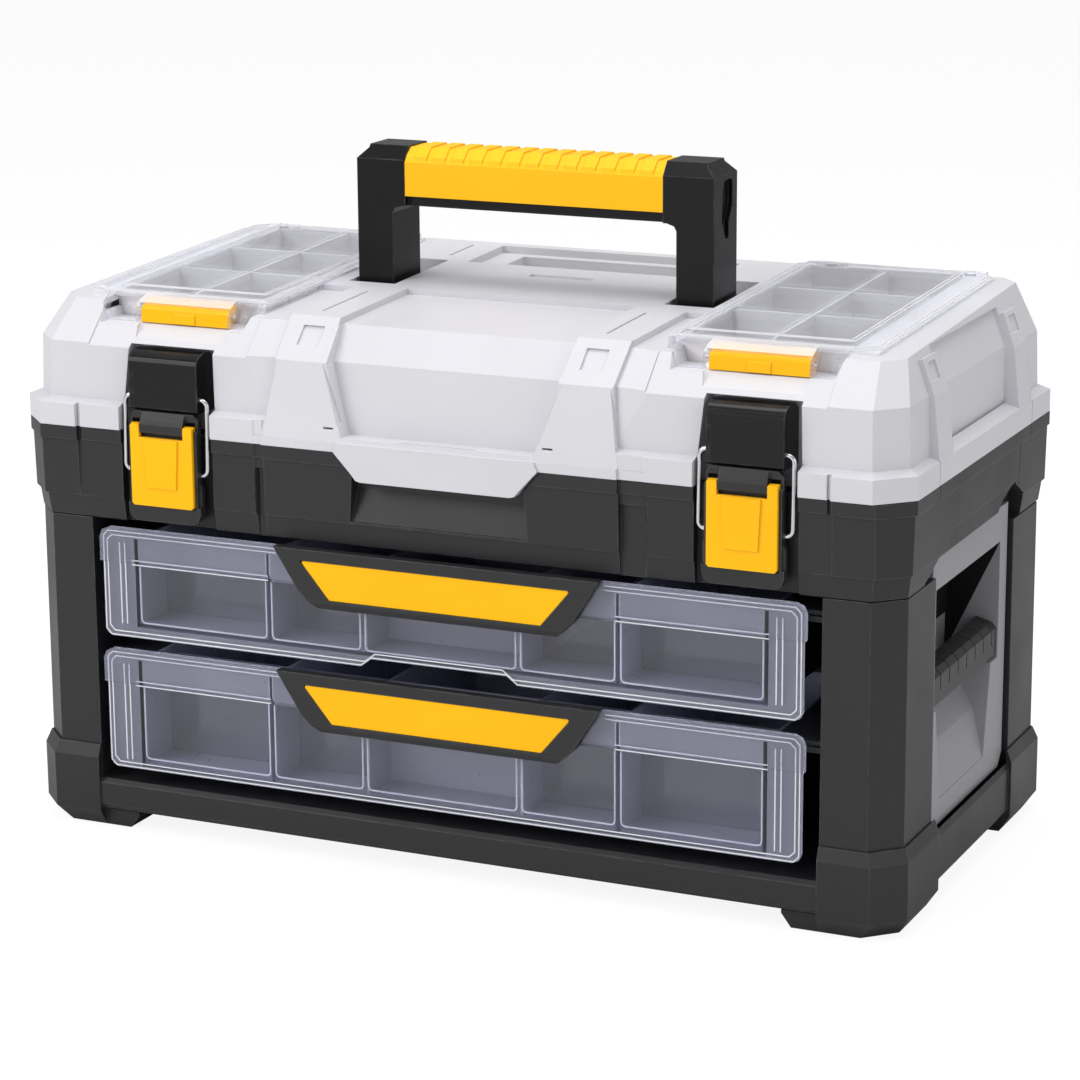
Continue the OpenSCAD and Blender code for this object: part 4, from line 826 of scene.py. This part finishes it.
class FinishOrganisers(ToolBoxOperator):
    """Dress the two organisers in the lid"""

    bl_idname = "tool_box.finish_organisers"
    bl_label = "Organisers"

    def make(self, context):
        for side in SIDES:
            dress_faces(f"organiser_tray_{side}", lambda middle, normal: (
                "Tray floor" if is_tray_floor(middle, normal) else "Frosted tray"))
            dress_faces(f"organiser_cover_{side}", lambda middle, normal: (
                "Frosted brow" if is_brow(middle, normal) else "Clear cover"))
            add_organiser_highlights(side)
        dress("Accent yellow", *both("organiser_latch"))
        dress("Bright wire", *both("organiser_hinge_pins"), *both("organiser_latch_pin"))


# How far a normal points forward or back on a face of a cross wall
FACES_FRONT = 0.5
# Distances from the middle of the box in metres: a side of the middle cell, the far end of an outer cell, and
# from where a drawer's wall counts as its side wall, which gets a dark painted shade
MIDDLE_CELL = 0.05
CELLS_END = 0.2
SIDE_WALL = 0.2005
# How far before or behind the panel's back in mm a face still counts as on it
BACK_REACH = 0.4


def divider_surface(middle, normal):
    """Material of a face of the dividers: all but the cross walls beside the middle cell are frosted."""
    if abs(normal.y) < FACES_FRONT:
        return "Frosted wall"
    return "Frosted back" if abs(middle.x) < MIDDLE_CELL else "Clear wall"


def tray_surface(middle, normal, ledge, floor):
    """Material of a face of a drawer: its front is clear before the cells and frosted round them, and its
    side walls get a dark painted shade.
    """
    if middle.y < (PANEL_BACK - BACK_REACH) * MM:
        return "Clear front"
    if middle.y < (PANEL_BACK + BACK_REACH) * MM:
        round_cells = abs(middle.x) > CELLS_END or middle.z > ledge or middle.z < floor
        return "Frosted sheet" if round_cells else "Clear front"
    return "Smoked wall" if abs(middle.x) > SIDE_WALL else "Frosted wall"


class FinishDrawers(ToolBoxOperator):
    """Dress the two clear drawers"""

    bl_idname = "tool_box.finish_drawers"
    bl_label = "Drawers"

    def make(self, context):
        for level in LEVELS:
            foot, tall, _, floor = DRAWERS[level]
            ledge = (foot + tall - LEDGE_DROP) * MM
            dress_faces(f"drawer_tray_{level}", lambda middle, normal: (
                tray_surface(middle, normal, ledge, (foot + floor) * MM)))
            dress_faces(f"drawer_dividers_{level}", divider_surface)
            add_drawer_highlights(level)
        dress("Charcoal plastic", *stacked("drawer_pull"))
        dress("Accent yellow", *stacked("drawer_insert"))


# Depth in mm from which a side panel is in its recess, and the height over which faces there get a dark
# painted shade
RECESS_DEPTH = 3.0
HAND_FLOOR = 139.0
# Dark sheet of painted shade on the recess's back in mm: its distance from the middle of the box, its
# thickness, ends and top
RECESS_BACK = 240.6
SHADE_SHEET_DEPTH = 0.4
RECESS_ENDS = (-61.0, 53.0)
RECESS_TOP = 181.6


def add_recess_shade(side):
    """Dark sheet of painted shade on the back of a side panel's recess, over the grip."""
    sign = -1 if side == "left" else 1
    level = (HAND_FLOOR + RECESS_TOP) / 2

    def on_shade_sheet(point, far):
        return Vector((sign * (RECESS_BACK + SHADE_SHEET_DEPTH * far), point.x, point.y)) * MM

    strip = [([(end, level) for end in RECESS_ENDS], False)]
    beads(f"recess_back_{side}", strip, RECESS_TOP - HAND_FLOOR, on_shade_sheet, "Recess dark", "chest")


def is_in_painted_shade(middle, normal, face):
    """Is the middle of a face of a side panel over the grip in the recess, on its ends or its top? Such faces
    get a dark painted shade.
    """
    return abs(middle.x) < face and middle.z > HAND_FLOOR * MM and abs(normal.x) < SQUARE_ON


class FinishSideHandles(ToolBoxOperator):
    """Dress the side panels and their grips"""

    bl_idname = "tool_box.finish_side_handles"
    bl_label = "Side handles"

    def make(self, context):
        for side in SIDES:
            low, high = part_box(f"side_panel_{side}")
            face = max(abs(low[0]), abs(high[0])) - RECESS_DEPTH * MM
            # Faces in the recess over the grip get a dark painted shade
            dress_faces(f"side_panel_{side}", lambda middle, normal: (
                "Recess dark" if is_in_painted_shade(middle, normal, face) else "Panel grey"))
            add_recess_shade(side)
        dress("Charcoal plastic", *both("side_grip"))


class BuildStudio(ToolBoxOperator):
    """Set the floor, the room, the lamps and the camera"""

    bl_idname = "tool_box.build_studio"
    bl_label = "Studio"

    def make(self, context):
        lay_floor()
        light_room()
        for lamp in LAMPS:
            hang_lamp(*lamp)
        place_camera()
        context.scene.view_settings.view_transform = "Standard"


# How far the floor lies under the feet in mm, so that they don't share its plane
FLOOR_DROP = 0.3
# Brightness that the camera sees on the floor, and its share beside the lit floor with its shadow
FLOOR_GLOW = 1.12
GLOW_SHARE = 0.8


def lay_floor():
    """Pale floor that is white where the camera sees it, apart from the soft shadow."""
    reach = studio().backdrop_size / 2
    mesh = bpy.data.meshes.new("Floor")
    corners = [(-reach, -reach), (reach, -reach), (reach, reach), (-reach, reach)]
    mesh.from_pydata([(x, y, -FLOOR_DROP * MM) for x, y in corners], [], [(0, 1, 2, 3)])
    floor = bpy.data.objects.new("Floor", mesh)
    bpy.context.scene.collection.objects.link(floor)
    made, tree, shader, output = bare_material("Floor white")
    shader.inputs["Base Color"].default_value = (0.8, 0.8, 0.8, 1)
    shader.inputs["Roughness"].default_value = 0.9
    shader.inputs["Specular IOR Level"].default_value = 0.1
    white = node(tree, "Emission")
    white.inputs["Strength"].default_value = FLOOR_GLOW
    mix = node(tree, "MixShader")
    link(tree, maths(tree, "MULTIPLY", seen_directly(tree), GLOW_SHARE), mix.inputs[0])
    link(tree, shader.outputs[0], mix.inputs[1])
    link(tree, white.outputs[0], mix.inputs[2])
    link(tree, mix.outputs[0], output.inputs["Surface"])
    mesh.materials.append(made)


def seen_directly(tree):
    """1 for rays of the camera and through clear plastic."""
    ray = node(tree, "LightPath")
    return maths(tree, "MAXIMUM", ray.outputs["Is Camera Ray"], ray.outputs["Is Transmission Ray"])


def light_room():
    """Even light from all round, white where the camera sees past the floor."""
    world = bpy.data.worlds.new("Room")
    world.use_nodes = True
    tree = world.node_tree
    tree.nodes.clear()
    output = node(tree, "OutputWorld")
    even = node(tree, "Background")
    even.inputs["Strength"].default_value = studio().room_light
    even.inputs["Color"].default_value = WHITE
    white = node(tree, "Background")
    white.inputs["Color"].default_value = WHITE
    mix = node(tree, "MixShader")
    ray = node(tree, "LightPath")
    link(tree, ray.outputs["Is Camera Ray"], mix.inputs[0])
    link(tree, even.outputs[0], mix.inputs[1])
    link(tree, white.outputs[0], mix.inputs[2])
    link(tree, mix.outputs[0], output.inputs["Surface"])
    bpy.context.scene.world = world


# Each lamp: its name, the setting that holds its power, its place and its size in metres
LAMPS = (
    ("Key lamp", "key_power", (-1.5, -1.7, 1.5), 1.4),
    ("Top lamp", "top_power", (0.1, 0.1, 2.0), 1.6),
    ("Fill lamp", "fill_power", (2.1, -0.9, 0.9), 1.3),
    ("Front lamp", "front_power", (-0.3, -2.3, 0.4), 1.2),
)


def hang_lamp(name, setting, place, size):
    """Square lamp that shines at the middle of the box."""
    light = bpy.data.lights.new(name, "AREA")
    light.energy = getattr(studio(), setting)
    light.size = size
    lamp = bpy.data.objects.new(name, light)
    bpy.context.scene.collection.objects.link(lamp)
    lamp.location = place
    aim = Vector((0, 0, studio().aim_height)) - lamp.location
    lamp.rotation_euler = aim.to_track_quat("-Z", "Y").to_euler()


# Width of the camera's sensor in mm
SENSOR_WIDTH = 36


def place_camera():
    """Camera in front of the box, turned to its right and looking down a little."""
    look = studio()
    back = Vector((math.sin(look.yaw) * math.cos(look.pitch), -math.cos(look.yaw) * math.cos(look.pitch),
                   math.sin(look.pitch)))
    level = Vector((math.cos(look.yaw), math.sin(look.yaw), 0))
    upright = back.cross(level)
    turn = Matrix((level, upright, back)).transposed().to_4x4()
    data = bpy.data.cameras.new("Camera")
    data.lens = look.lens
    data.sensor_width = SENSOR_WIDTH
    camera = bpy.data.objects.new("Camera", data)
    bpy.context.scene.collection.objects.link(camera)
    place = Vector((0, 0, look.aim_height)) + back * look.distance
    camera.matrix_world = Matrix.Translation(place) @ turn @ Matrix.Rotation(look.roll, 4, "Z")
    bpy.context.scene.camera = camera


# ---------- panel and registration ----------

STEPS = (FinishHousing, FinishLid, FinishHandle, FinishLatches, FinishOrganisers, FinishDrawers,
         FinishSideHandles, BuildStudio)


class TOOLBOX_PT_steps(Panel):
    """Steps and settings of the tool box"""

    bl_idname = "TOOLBOX_PT_steps"
    bl_label = "Tool box"
    bl_space_type = "VIEW_3D"
    bl_region_type = "UI"
    bl_category = "Tool Box"

    def draw(self, context):
        layout = self.layout
        for step in STEPS:
            layout.operator(step.bl_idname)
        for settings in (plastics(), surfaces(), studio()):
            column = layout.column()
            for name in settings.bl_rna.properties.keys():
                if name not in ("rna_type", "name"):
                    column.prop(settings, name)


SETTINGS = (
    ("tool_box_plastics", BoxPlastics),
    ("tool_box_surfaces", BoxSurfaces),
    ("tool_box_studio", BoxStudio),
)


def register():
    for _, group in SETTINGS:
        bpy.utils.register_class(group)
    for step in STEPS:
        bpy.utils.register_class(step)
    bpy.utils.register_class(TOOLBOX_PT_steps)
    for name, group in SETTINGS:
        setattr(bpy.types.Scene, name, PointerProperty(type=group))


def unregister():
    for name, _ in SETTINGS:
        delattr(bpy.types.Scene, name)
    bpy.utils.unregister_class(TOOLBOX_PT_steps)
    for step in reversed(STEPS):
        bpy.utils.unregister_class(step)
    for _, group in reversed(SETTINGS):
        bpy.utils.unregister_class(group)


def main():
    register()
    for step in STEPS:
        group, name = step.bl_idname.split(".")
        getattr(getattr(bpy.ops, group), name)()


if __name__ == "__main__":
    main()
